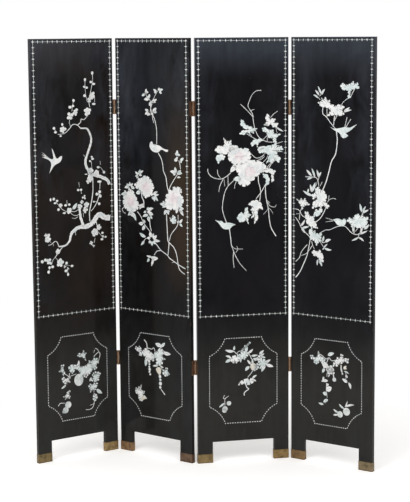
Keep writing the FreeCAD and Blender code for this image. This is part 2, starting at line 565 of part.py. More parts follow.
class Picture:
    """The place of one picture on a board, and the sizes of its grid's unit across and up."""

    def __init__(self, middle, across_unit, up_unit, middle_shares):
        self.middle = middle
        self.across_unit = across_unit
        self.up_unit = up_unit
        self.unit = math.sqrt(across_unit * up_unit)
        self.middle_shares = middle_shares

    def spot(self, across, up):
        """A point of the grid on the inlay's front plane."""
        right = (across - self.middle_shares[0]) * self.across_unit
        above = (up - self.middle_shares[1]) * self.up_unit
        return FreeCAD.Vector(self.middle[0] + right, -INLAY_THICKNESS, self.middle[1] + above)

    def stem(self, start, end, points):
        """A branch as a ribbon that tapers from one end width to the other."""
        spots = [self.spot(*point) for point in points]
        last = len(spots) - 1
        left = []
        right = []
        for index, spot in enumerate(spots):
            run = spots[min(index + 1, last)] - spots[max(index - 1, 0)]
            run.normalize()
            half = (start + (end - start) * index / last) * self.unit / 2
            side = FreeCAD.Vector(-run.z * half, 0, run.x * half)
            left.append(spot + side)
            right.append(spot - side)
        return left + right[::-1]

    def leaf(self, root_across, root_up, tip_across, tip_up, width):
        """A pointed leaf from its root to its tip."""
        root = self.spot(root_across, root_up)
        tip = self.spot(tip_across, tip_up)
        run = tip - root
        side = FreeCAD.Vector(-run.z, 0, run.x) * (width * self.unit / 2 / run.Length)
        shoulder = root + run * LEAF_SHOULDER_SHARE
        return [root, shoulder - side, tip, shoulder + side]

    def flower(self, across, up, radius, petals, turn):
        """A blossom as a star with one point for each petal."""
        middle = self.spot(across, up)
        points = []
        for step in range(petals * 2):
            reach = radius * self.unit * (1 if step % 2 == 0 else PETAL_DIP_SHARE)
            angle = math.radians(turn) + math.pi * step / petals
            points.append(middle + FreeCAD.Vector(reach * math.cos(angle), 0, reach * math.sin(angle)))
        return points

    def round_fruit(self, across, up, radius):
        """A round fruit, drawn with as few flats as still look round."""
        middle = self.spot(across, up)
        reach = radius * self.unit
        turns = [2 * math.pi * step / ROUND_FLATS for step in range(ROUND_FLATS)]
        return [middle + FreeCAD.Vector(reach * math.cos(turn), 0, reach * math.sin(turn)) for turn in turns]

    def plates(self, shares):
        """The picture's shell plates, joined where they meet."""
        outlines = [self.stem(*stem) for stem in shares.get("stems", [])]
        outlines += [self.leaf(*leaf) for leaf in shares.get("leaves", [])]
        outlines += [self.flower(*flower) for flower in shares.get("flowers", [])]
        outlines += [self.round_fruit(*fruit) for fruit in shares.get("rounds", [])]
        for key in ("plates", "birds"):
            outlines += [[self.spot(*point) for point in outline] for outline in shares.get(key, [])]
        return joined([prism(outline, INLAY_THICKNESS) for outline in outlines])


def flower_picture():
    """The upper picture, stretched to the border."""
    low = BORDER_FOOT
    high = BOARD_HEIGHT - BORDER_TOP_MARGIN
    across_unit = (BOARD_WIDTH - BORDER_MARGIN * 2) / FLOWER_SIZE_SHARES[0]
    up_unit = (high - low) / FLOWER_SIZE_SHARES[1]
    return Picture((BOARD_WIDTH / 2, (low + high) / 2), across_unit, up_unit, FLOWER_MIDDLE_SHARES)


def fruit_picture():
    """The lower picture, inside the cartouche."""
    unit = min(CARTOUCHE_HALF_WIDTH * 2 / FRUIT_SIZE_SHARES[0], CARTOUCHE_HALF_HEIGHT * 2 / FRUIT_SIZE_SHARES[1])
    return Picture((BOARD_WIDTH / 2, CARTOUCHE_RISE), unit, unit, FRUIT_MIDDLE_SHARES)


def stood(shape, number):
    """A piece moved from its board's frame to its place in the screen."""
    placed = shape.copy()
    placed.rotate(FreeCAD.Vector(0, 0, 0), FreeCAD.Vector(0, 0, 1), REST_YAWS[number - 1])
    placed.translate(ORIGINS[number - 1])
    return placed


def save(name, shapes, number):
    """A node's solids as one STEP file."""
    placed = [stood(solid, number) for shape in shapes for solid in shape.Solids]
    node = placed[0] if len(placed) == 1 else Part.makeCompound(placed)
    node.exportStep(os.path.join("parts", name + ".step"))


os.makedirs("parts", exist_ok=True)
plain_board = board()
frame_line = border()
cartouche_line = cartouche()
for number in range(1, len(REST_YAWS) + 1):
    body = plain_board
    panel_screws = []
    for side, face in hinge_sides(number):
        side_screws = screws(side, face)
        outer = number == 2 or (number == 3 and side == "right")
        leaves = []
        for middle in HINGE_MIDDLES:
            body = body.cut(mortise(side, face, middle))
            leaf = hinge_leaf(side, face, middle, outer)
            for driven in side_screws:
                leaf = leaf.cut(driven)
            leaves.append(leaf)
        save("hinge_leaves_%d_%s" % (number, side), leaves, number)
        panel_screws += side_screws
    save("board_%d" % number, [body], number)
    save("hinge_screws_%d" % number, panel_screws, number)
    for side in ("left", "right"):
        save("shoe_%d_%s" % (number, side), [shoe(side)], number)
    save("border_inlay_%d" % number, [frame_line], number)
    save("cartouche_inlay_%d" % number, [cartouche_line], number)
    save("flower_inlay_%d" % number, [flower_picture().plates(UPPER_SHARES[number - 1])], number)
    save("fruit_inlay_%d" % number, [fruit_picture().plates(LOWER_SHARES[number - 1])], number)
for index, face in enumerate(HINGE_FACES):
    pins = [hinge_pin(face, middle) for middle in HINGE_MIDDLES]
    save("hinge_pins_%d_%d" % (index + 1, index + 2), pins, index + 1)
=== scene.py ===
import json
import math
import random
import bmesh
import bpy
from mathutils import Matrix, Vector


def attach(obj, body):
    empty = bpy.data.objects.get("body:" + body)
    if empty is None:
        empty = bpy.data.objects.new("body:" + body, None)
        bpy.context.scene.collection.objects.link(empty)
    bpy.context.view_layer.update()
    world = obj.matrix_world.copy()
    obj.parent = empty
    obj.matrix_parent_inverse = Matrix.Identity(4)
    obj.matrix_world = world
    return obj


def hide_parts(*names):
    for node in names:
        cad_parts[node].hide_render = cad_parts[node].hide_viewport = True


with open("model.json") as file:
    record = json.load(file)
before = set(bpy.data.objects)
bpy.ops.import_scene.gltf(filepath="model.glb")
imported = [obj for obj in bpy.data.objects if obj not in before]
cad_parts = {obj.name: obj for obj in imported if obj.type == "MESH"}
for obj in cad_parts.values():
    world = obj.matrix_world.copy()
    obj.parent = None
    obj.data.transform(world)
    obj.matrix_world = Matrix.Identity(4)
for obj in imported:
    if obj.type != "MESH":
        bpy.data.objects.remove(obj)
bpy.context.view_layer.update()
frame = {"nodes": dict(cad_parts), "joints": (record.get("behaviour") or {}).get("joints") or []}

# The four leaves are flat wooden boards, each cut away at the foot to leave two legs, under
# many coats of black lacquer, rubbed down and polished. Their hinges open to the front, to
# the back and to the front again, so the boards stand in a zigzag.
MM = 0.001
BOARDS = (1, 2, 3, 4)
BOARD_WIDTH = 406.0
BOARD_HEIGHT = 1829.0
BOARD_THICKNESS = 19.0
AXIS_ASIDE = 3.0  # from a board's side edge to its hinge axis
AXIS_AHEAD = 6.5  # from a board's face to its hinge axis


def standing():
    """How the boards stand at rest, each one's turn and lower left corner, from the hinge axes."""
    joints = {joint["name"]: joint for joint in frame["joints"]}
    axes = [Vector((joints[name]["pos_m"][0], joints[name]["pos_m"][1], 0)) / MM
            for name in ("fold_1_2", "fold_2_3", "fold_3_4")]
    skew = math.atan2(BOARD_THICKNESS + AXIS_AHEAD * 2, BOARD_WIDTH + AXIS_ASIDE * 2)
    run = axes[1] - axes[0]
    second = math.atan2(run.y, run.x) - skew
    run = axes[2] - axes[1]
    third = math.atan2(run.y, run.x) + skew
    yaws = (second - math.radians(joints["fold_1_2"]["range_deg"][0]), second, third,
            third + math.radians(joints["fold_3_4"]["range_deg"][0]))
    left_of_axis = Vector((-BOARD_WIDTH - AXIS_ASIDE, AXIS_AHEAD, 0))
    right_of_axis = Vector((AXIS_ASIDE, AXIS_AHEAD, 0))
    hung = zip(yaws, (axes[0], axes[0], axes[2], axes[2]), (left_of_axis, right_of_axis) * 2)
    return yaws, [axis + Matrix.Rotation(yaw, 3, "Z") @ corner for yaw, axis, corner in hung]


YAWS, ORIGINS = standing()


def stand(number):
    """The matrix that takes a board's own frame, in metres, to its place in the screen."""
    return Matrix.Translation(ORIGINS[number - 1] * MM) @ Matrix.Rotation(YAWS[number - 1], 4, "Z")


def colour(code):
    """An sRGB hex colour as linear values."""
    shares = [int(code[place:place + 2], 16) / 255 for place in (1, 3, 5)]
    return tuple(s / 12.92 if s <= 0.04045 else ((s + 0.055) / 1.055) ** 2.4 for s in shares) + (1.0,)


def add(tree, kind, inputs=None, stops=(), **settings):
    """One node with its settings, its colour stops, and its inputs set or linked. A node given
    as an input is linked from its first output in use."""
    node = tree.nodes.new("ShaderNode" + kind)
    for name, value in settings.items():
        setattr(node, name, value)
    for name, value in (inputs or {}).items():
        if isinstance(value, bpy.types.Node):
            value = next(output for output in value.outputs if output.enabled)
        if isinstance(value, bpy.types.NodeSocket):
            tree.links.new(value, node.inputs[name])
        else:
            node.inputs[name].default_value = value
    if stops:
        marks = node.color_ramp.elements
        while len(marks) < len(stops):
            marks.new(0.5)
        for mark, (place, code) in zip(marks, stops):
            mark.position = place
            mark.color = colour(code)
    return node


def start_material(name):
    """A material with an empty node tree, and the object's own coordinates in it."""
    material = bpy.data.materials.new(name)
    material.use_nodes = True
    material.node_tree.nodes.clear()
    return material, material.node_tree, add(material.node_tree, "TexCoord").outputs["Object"]


def dress(node, material):
    """One of the frame's plain pieces in its real finish."""
    node.data.materials.clear()
    node.data.materials.append(material)


# Each mottle: its size in millimetres, the share of its run that shows up the board, how far
# it moves on from board to board, and its detail, roughness and distortion. Orange peel is
# about a millimetre across in life and drawn coarser, so that it shows.
MOTTLES = {
    "clouds": (300.0, 1.0, 0.0, 4.0, 0.6, 0.8),
    "streaks": (35.0, 0.12, 0.0, 5.0, 0.6, 0.0),
    "patches": (90.0, 1.0, 0.0, 5.0, 0.65, 0.5),
    "reflection_haze": (70.0, 0.35, 1.0, 5.0, 0.6, 0.6),
    "handling": (60.0, 1.0, 0.0, 6.0, 0.65, 0.0),
    "rub": (45.0, 1.0, 0.0, 6.0, 0.75, 0.0),
    "peel": (12.0, 1.0, 0.0, 2.0, 0.5, 0.0),
}
# The lacquer turns paler from this height down towards the foot, in millimetres.
PALER_FOOT_RISE = (720.0, 320.0)
# The painted reflection haze lies high up and towards the sides of a board.
REFLECTED_HAZE_RISE = (1050.0, 1350.0)
REFLECTED_HAZE_ASIDE = (20.0, 170.0)
AGED_RISE = (690.0, 960.0)
AGED_FALL = (1700.0, 1200.0)
AGED_ACROSS = (240.0, 350.0)
RUBBED_TOP = (BOARD_HEIGHT - 3.0, BOARD_HEIGHT - 0.8)
RUBBED_SIDES = (BOARD_WIDTH / 2 - 2.2, BOARD_WIDTH / 2 - 0.4)
RUBBED_FACES = (BOARD_THICKNESS / 2 - 2.3, BOARD_THICKNESS / 2 - 0.7)
REFLECTED_HAZE_LOW_SHARE = 0.3
SPECK_SPACING = 30.0
SPECK_SHARE = 0.035
SPECK_RARITY = 0.86
PEEL_DEPTH = 0.5
FIRST_TONE, SECOND_TONE = 6, 7  # a colour mix's inputs for its two colours


def polished_lacquer(number, dark, warm, top_reflection, top_reflection_rise, top_reflection_sides, amber, reflection_haze, pale_foot, gloss):
    """Black lacquer, polished: deep and even, a little brown where light gets into it, with a painted
    reflection of the room as a bluish haze and a painted reflection towards the top, paler towards the foot,
    with a few pale specks, and worn along its edges."""
    material, tree, place = start_material("polished_black_lacquer_%d" % number)
    local = add(tree, "Mapping", {"Vector": place, "Location": ORIGINS[number - 1] * MM,
                                  "Rotation": (0, 0, YAWS[number - 1])}, vector_type="TEXTURE")
    mottles = {}
    for name, (size, up_share, move, detail, roughness, distortion) in MOTTLES.items():
        spread = add(tree, "Mapping", {"Vector": local, "Location": (number * move, 0, 0),
                                       "Scale": (1, 1, up_share)})
        mottles[name] = add(tree, "TexNoise", {"Vector": spread, "Scale": 1 / (size * MM), "Detail": detail,
                                               "Roughness": roughness, "Distortion": distortion})
    across, inside, height = add(tree, "SeparateXYZ", {"Vector": local}).outputs
    aside = add(tree, "Math", {0: across, 1: BOARD_WIDTH * MM / 2}, operation="SUBTRACT")
    aside = add(tree, "Math", {0: aside}, operation="ABSOLUTE")
    off_middle = add(tree, "Math", {0: inside, 1: BOARD_THICKNESS * MM / 2}, operation="SUBTRACT")
    off_middle = add(tree, "Math", {0: off_middle}, operation="ABSOLUTE")
    zones = {}
    for name, way, (start, end), (low, high) in (
            ("paler_foot", height, PALER_FOOT_RISE, (0.0, pale_foot)),
            ("reflected_top", height, (top_reflection_rise, BOARD_HEIGHT), (0.0, 1.0)),
            ("reflected_top_across", across, (0.0, BOARD_WIDTH), top_reflection_sides),
            ("reflected_haze", height, REFLECTED_HAZE_RISE, (reflection_haze * REFLECTED_HAZE_LOW_SHARE, reflection_haze)),
            ("reflected_haze_aside", aside, REFLECTED_HAZE_ASIDE, (0.25, 1.0)),
            ("aged", height, AGED_RISE, (0.0, amber)),
            ("aged_below", height, AGED_FALL, (0.0, 1.0)),
            ("aged_across", across, AGED_ACROSS, (0.0, 1.0)),
            ("top", height, RUBBED_TOP, (0.0, 1.0)),
            ("sides", aside, RUBBED_SIDES, (0.0, 1.0)),
            ("faces", off_middle, RUBBED_FACES, (0.0, 1.0))):
        zones[name] = add(tree, "MapRange", {"Value": way, "From Min": start * MM, "From Max": end * MM,
                                             "To Min": low, "To Max": high}, interpolation_type="SMOOTHSTEP")

    def together(amount, *others):
        """Amounts multiplied into one."""
        for other in others:
            amount = add(tree, "Math", {0: amount, 1: other}, operation="MULTIPLY", use_clamp=True)
        return amount

    mottled = add(tree, "Math", {0: mottles["streaks"], 1: mottles["patches"]}, operation="ADD")
    mottled = add(tree, "MapRange", {"Value": mottled, "From Min": 0.75, "From Max": 1.25, "To Min": 0.75,
                                     "To Max": 1.2})
    reflection_bloom = add(tree, "MapRange", {"Value": mottles["reflection_haze"], "From Min": 0.36, "From Max": 0.74})
    flakes = add(tree, "TexVoronoi", {"Vector": local, "Scale": 1 / (SPECK_SPACING * MM)}, feature="F1")
    speck = add(tree, "Math", {0: flakes, 1: SPECK_SHARE}, operation="LESS_THAN")
    rare = add(tree, "SeparateColor", {"Color": flakes.outputs["Color"]})
    rare = add(tree, "Math", {0: rare, 1: SPECK_RARITY}, operation="GREATER_THAN")
    rim = add(tree, "Math", {0: zones["sides"], 1: zones["top"]}, operation="MAXIMUM")
    rub = add(tree, "MapRange", {"Value": mottles["rub"], "From Min": 0.54, "From Max": 0.64})
    body = add(tree, "ValToRGB", {"Fac": mottles["clouds"]}, ((0.38, dark), (0.66, warm)))
    # Layers over the body, in turn: paler towards the foot, a painted reflection towards the top, a painted
    # reflection as a bluish haze, amber, pale specks and worn edges.
    for amount, tone in (
            (together(zones["paler_foot"], mottled), "#2b2a27"),
            (together(zones["reflected_top"], zones["reflected_top_across"], mottled), top_reflection),
            (together(reflection_bloom, zones["reflected_haze_aside"], zones["reflected_haze"], mottled), "#3b3e46"),
            (together(zones["aged"], zones["aged_below"], zones["aged_across"], mottled), "#33281d"),
            (together(speck, rare), "#5d5a54"),
            (together(rim, zones["faces"], rub), "#6a523c")):
        body = add(tree, "Mix", {"Factor": amount, FIRST_TONE: body, SECOND_TONE: colour(tone)},
                   data_type="RGBA")
    smooth = add(tree, "MapRange", {"Value": mottles["handling"], "From Min": 0.35, "From Max": 0.7,
                                    "To Min": 0.07, "To Max": 0.16})
    bump = add(tree, "Bump", {"Strength": 0.04, "Distance": PEEL_DEPTH * MM, "Height": mottles["peel"]})
    shader = add(tree, "BsdfPrincipled", {"Base Color": body, "Roughness": smooth, "Normal": bump,
                                          "IOR": 1.5, "Specular IOR Level": gloss})
    add(tree, "OutputMaterial", {"Surface": shader})
    return material


# Each board's lacquer in its own way: its black, the painted reflection towards its top, how far it has gone
# amber by one edge, its painted reflection haze, how much paler it is towards the foot, and how much gloss
# is left.
LACQUERS = {
    1: dict(dark="#0c0a09", warm="#1d150f", top_reflection="#36363a", top_reflection_rise=1640.0, top_reflection_sides=(1.0, 0.6),
            amber=0.2, reflection_haze=0.65, pale_foot=1.0, gloss=0.085),
    2: dict(dark="#090909", warm="#14110f", top_reflection="#26282d", top_reflection_rise=1000.0, top_reflection_sides=(1.0, 0.15),
            amber=0.9, reflection_haze=0.75, pale_foot=0.55, gloss=0.09),
    3: dict(dark="#040406", warm="#0f0c10", top_reflection="#353a42", top_reflection_rise=1640.0, top_reflection_sides=(0.8, 1.0),
            amber=0.0, reflection_haze=0.32, pale_foot=1.0, gloss=0.085),
    4: dict(dark="#050508", warm="#100e12", top_reflection="#32373e", top_reflection_rise=1640.0, top_reflection_sides=(0.8, 1.0),
            amber=0.0, reflection_haze=0.5, pale_foot=1.0, gloss=0.085),
}
for number in BOARDS:
    dress(frame["nodes"]["board_%d" % number], polished_lacquer(number, **LACQUERS[number]))


# The border round each upper picture is a string of small four-pointed stars cut from
# shell, longer across the border than along it, joined by a fine shell line with a tiny
# lozenge between each pair, all laid on the front face.
INLAY_THICKNESS = 0.8
EDGE_SLOPE = 0.22
BORDER_LEFT = 14.0
BORDER_LOW = 645.0
BORDER_HIGH = 1816.5
STARS_ACROSS = 16
STARS_UP = 49
STAR_REACH_ACROSS = 8.4
STAR_REACH_ALONG = 6.0
STAR_WAIST = 2.5
LOZENGE_REACH = 2.0
LINK_WIDTH = 1.3
ROW_SHARES = (0.84, 1.0, 0.88, 1.0)
STAR_SHARES = {1: 1.0, 2: 0.98, 3: 0.96, 4: 0.93}
STAR_GROWTH_SHARES = (0.86, 1.06)
LOZENGE_GROWTH_SHARES = (0.8, 1.1)
LINK_START = 4.8
LINK_THICKNESS = 0.64
FOLDED_BACK_SHARE = 0.2
BORDER_SEED = 40
SHELL_PATCH = 30.0
SHELL_GROWTH = 16.0  # the real growth lines are a millimetre or two apart, too fine to show
SHELL_RELIEF = 0.2
INK_MOTTLE = 8.0


def mother_of_pearl(name, base, glow, shade):
    """Mother-of-pearl, cut thin and polished: pale, with soft patches of pink, blue and
    green that change over a centimetre or two, and fine growth lines."""
    material, tree, place = start_material(name + "_mother_of_pearl")
    drift = add(tree, "TexNoise", {"Vector": place, "Scale": 1 / (SHELL_PATCH * MM), "Detail": 3.0,
                                   "Distortion": 1.2})
    growth = add(tree, "TexWave", {"Vector": place, "Scale": 1 / (SHELL_GROWTH * MM), "Distortion": 7.0,
                                   "Detail": 3.0, "Detail Scale": 1.4}, bands_direction="DIAGONAL")
    growth = growth.outputs["Fac"]
    patches = add(tree, "ValToRGB", {"Fac": drift}, ((0.36, shade), (0.5, base), (0.64, glow)))
    lines = add(tree, "ValToRGB", {"Fac": growth}, ((0.0, shade), (1.0, glow)))
    tone = add(tree, "Mix", {"Factor": 0.16, FIRST_TONE: patches, SECOND_TONE: lines}, data_type="RGBA")
    bump = add(tree, "Bump", {"Strength": 0.12, "Distance": SHELL_RELIEF * MM, "Height": growth})
    shader = add(tree, "BsdfPrincipled", {"Base Color": tone, "Normal": bump, "Roughness": 0.26, "IOR": 1.56,
                                          "Coat Weight": 0.25, "Coat Roughness": 0.12})
    add(tree, "OutputMaterial", {"Surface": shader})
    return material


def rubbed_ink():
    """Black ink rubbed into engraved lines: matt and a little brown."""
    material, tree, place = start_material("rubbed_black_ink")
    wear = add(tree, "TexNoise", {"Vector": place, "Scale": 1 / (INK_MOTTLE * MM), "Detail": 3.0})
    tone = add(tree, "ValToRGB", {"Fac": wear}, ((0.35, "#2a2725"), (0.7, "#57544f")))
    shader = add(tree, "BsdfPrincipled", {"Base Color": tone, "Roughness": 0.6})
    add(tree, "OutputMaterial", {"Surface": shader})
    return material


WHITE, GREEN, PINK, GREY, AMBER, ROSE, INK = range(7)
SHELL_TONES = {"white": ("#e5e5e3", "#f1efed", "#d0d7d7"), "green": ("#d9e0de", "#e9ecea", "#c4d2d1"),
               "pink": ("#e5dcde", "#efe8e8", "#dbccd0"), "grey": ("#d2d5d2", "#e4e5e2", "#b6bfbe"),
               "amber": ("#dcd6c9", "#e8e3d9", "#cec5b0"), "rose": ("#d6c2c4", "#dcc6c4", "#bfa0a4")}
SHELLS = [mother_of_pearl(name, *tones) for name, tones in SHELL_TONES.items()] + [rubbed_ink()]
STAR_CHOICE = (WHITE, GREY, GREY, GREEN, WHITE)


def sides(outline):
    """Each side of a closed outline, as its start and end."""
    return zip(outline, outline[1:] + outline[:1])


def corners(outline):
    """Each corner of a closed outline, with the side that comes in and the one that goes on."""
    for before, here, after in zip(outline[-1:] + outline[:-1], outline, outline[1:] + outline[:1]):
        yield Vector(here), Vector(here) - Vector(before), Vector(after) - Vector(here)


def signed_area(outline):
    """Twice an outline's area, positive where it runs anticlockwise seen from the front."""
    return sum(a[0] * b[1] - b[0] * a[1] for a, b in sides(outline))


def anticlockwise(outline):
    """The outline run anticlockwise as seen from the front."""
    return outline if signed_area(outline) >= 0 else outline[::-1]


def shrunk(outline, inset):
    """The outline moved inwards by about an inset."""
    moved = []
    for here, before, after in corners(outline):
        first, second = before.normalized(), after.normalized()
        inward = (first + second).orthogonal()
        if inward.length < FOLDED_BACK_SHARE:
            inward = second - first
        moved.append(tuple(here + inward.normalized() * inset))
    return moved


def skin(mesh, rings, kind=0):
    """The faces between each ring of points and the next."""
    for low, high in zip(rings, rings[1:]):
        for (a, b), (d, c) in zip(sides(low), sides(high)):
            mesh.faces.new((a, b, c, d)).material_index = kind


def lay_plate(mesh, outline, kind, lift=0.0, thickness=INLAY_THICKNESS, slope=EDGE_SLOPE):
    """One shell plate on the front face, its edge sloped, its outline in board millimetres."""
    outline = anticlockwise(outline)
    rings = []
    for ring, rise in ((outline, lift), (outline, lift + thickness - slope),
                       (shrunk(outline, slope), lift + thickness)):
        rings.append([mesh.verts.new((x * MM, -rise * MM, z * MM)) for x, z in ring])
    skin(mesh, rings, kind)
    mesh.faces.new(rings[-1]).material_index = kind


def star(spot, reach, waist, points=4):
    """A pointed star's outline; its reach is given to the right and upwards."""
    outline = []
    for step in range(points * 2):
        wide, tall = reach if step % 2 == 0 else (waist, waist)
        angle = math.pi * step / points
        outline.append((spot[0] + wide * math.cos(angle), spot[1] + tall * math.sin(angle)))
    return outline


def bar(start, end, width):
    """A straight line's outline."""
    side = (end - start).normalized().orthogonal() * width / 2
    return [tuple(start + side), tuple(start - side), tuple(end - side), tuple(end + side)]


def put(name, data):
    """An object of that data in the scene."""
    thing = bpy.data.objects.new(name, data)
    bpy.context.scene.collection.objects.link(thing)
    return thing


def seat(mesh, name, number, materials, node):
    """The mesh as one piece on its board, in place of the frame's plain one."""
    data = bpy.data.meshes.new(name)
    mesh.to_mesh(data)
    mesh.free()
    for material in materials:
        data.materials.append(material)
    piece = put(name, data)
    piece.matrix_world = stand(number)
    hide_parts(node)
    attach(piece, "panel_%d" % number)


def border_stops():
    """Each star's place round the border, the way to the next one, and its row's share."""
    right = BOARD_WIDTH - BORDER_LEFT
    turns = [Vector(turn) for turn in ((BORDER_LEFT, BORDER_LOW), (right, BORDER_LOW), (right, BORDER_HIGH),
                                       (BORDER_LEFT, BORDER_HIGH))]
    for (start, end), count, share in zip(sides(turns), (STARS_ACROSS, STARS_UP) * 2, ROW_SHARES):
        step = (end - start) / count
        for place in range(count):
            yield start + step * place, step, place == 0, share


for number in BOARDS:
    mesh = bmesh.new()
    cut = random.Random(BORDER_SEED + number)
    for spot, step, is_corner, share in border_stops():
        share *= STAR_SHARES[number]
        grow = cut.uniform(*STAR_GROWTH_SHARES) * share
        reach = (STAR_REACH_ACROSS * grow, STAR_REACH_ALONG * grow)
        if is_corner:
            reach = (STAR_REACH_ACROSS, STAR_REACH_ACROSS)
        elif abs(step.x) > abs(step.y):
            reach = reach[::-1]
        lay_plate(mesh, star(spot, reach, STAR_WAIST * share), cut.choice(STAR_CHOICE))
        lozenge = LOZENGE_REACH * cut.uniform(*LOZENGE_GROWTH_SHARES) * share
        lay_plate(mesh, star(spot + step / 2, (lozenge, lozenge), LOZENGE_REACH / 2), GREY)
        run = step.normalized() * LINK_START
        link = bar(spot + run, spot + step - run, LINK_WIDTH * share)
        lay_plate(mesh, link, GREY, thickness=LINK_THICKNESS)
    seat(mesh, "border_of_stars_%d" % number, number, SHELLS, "border_inlay_%d" % number)


# The cartouche below is outlined by a close row of short shell bars, set end to end on an
# eight-cornered line with hollow corners. The real bars are about 9 mm apart, and drawn a
# little further apart, so that they show.
CARTOUCHE_RISE = 358.5
CARTOUCHE_HALF_WIDTH = 150.5
CARTOUCHE_HALF_HEIGHT = 187.0
CARTOUCHE_HALF_TOP = 81.0
CARTOUCHE_HALF_SIDE = 111.5
CARTOUCHE_SAG = 11.0
CORNER_RUNS = 12
BAR_PITCH = 11.0
BAR_LENGTH = 5.2
BAR_WIDTH = 3.0
BAR_GROWTH_SHARES = (0.9, 1.05)
CARTOUCHE_SEED = 80


def cartouche_line():
    """The cartouche's line, corner by corner, as a closed run of points."""
    width = CARTOUCHE_HALF_WIDTH - CARTOUCHE_HALF_TOP
    height = CARTOUCHE_HALF_HEIGHT - CARTOUCHE_HALF_SIDE
    chord = math.hypot(width, height)
    corner = []
    for step in range(CORNER_RUNS + 1):
        share = step / CORNER_RUNS
        sag = CARTOUCHE_SAG * (1 - (2 * share - 1) ** 2)
        corner.append((CARTOUCHE_HALF_TOP + width * share - sag * height / chord,
                       CARTOUCHE_HALF_HEIGHT - height * share - sag * width / chord))
    points = []
    for right, up in ((1, 1), (1, -1), (-1, -1), (-1, 1)):
        run = corner if right == up else corner[::-1]
        points += [Vector((BOARD_WIDTH / 2 + right * x, CARTOUCHE_RISE + up * z)) for x, z in run]
    return points


def along(points, pitch):
    """Evenly spaced places along a closed run, each with the run's direction there."""
    runs = [(start, (end - start).normalized(), (end - start).length) for start, end in sides(points)]
    whole = sum(length for start, way, length in runs)
    count = round(whole / pitch)
    passed = 0.0
    place = 0
    for start, way, length in runs:
        while place < count and place * whole / count <= passed + length:
            yield start + way * (place * whole / count - passed), way
            place += 1
        passed += length


for number in BOARDS:
    mesh = bmesh.new()
    cut = random.Random(CARTOUCHE_SEED + number)
    for spot, way in along(cartouche_line(), BAR_PITCH):
        half = way * BAR_LENGTH / 2 * cut.uniform(*BAR_GROWTH_SHARES)
        lay_plate(mesh, bar(spot - half, spot + half, BAR_WIDTH), WHITE)
    seat(mesh, "cartouche_of_bars_%d" % number, number, SHELLS, "cartouche_inlay_%d" % number)


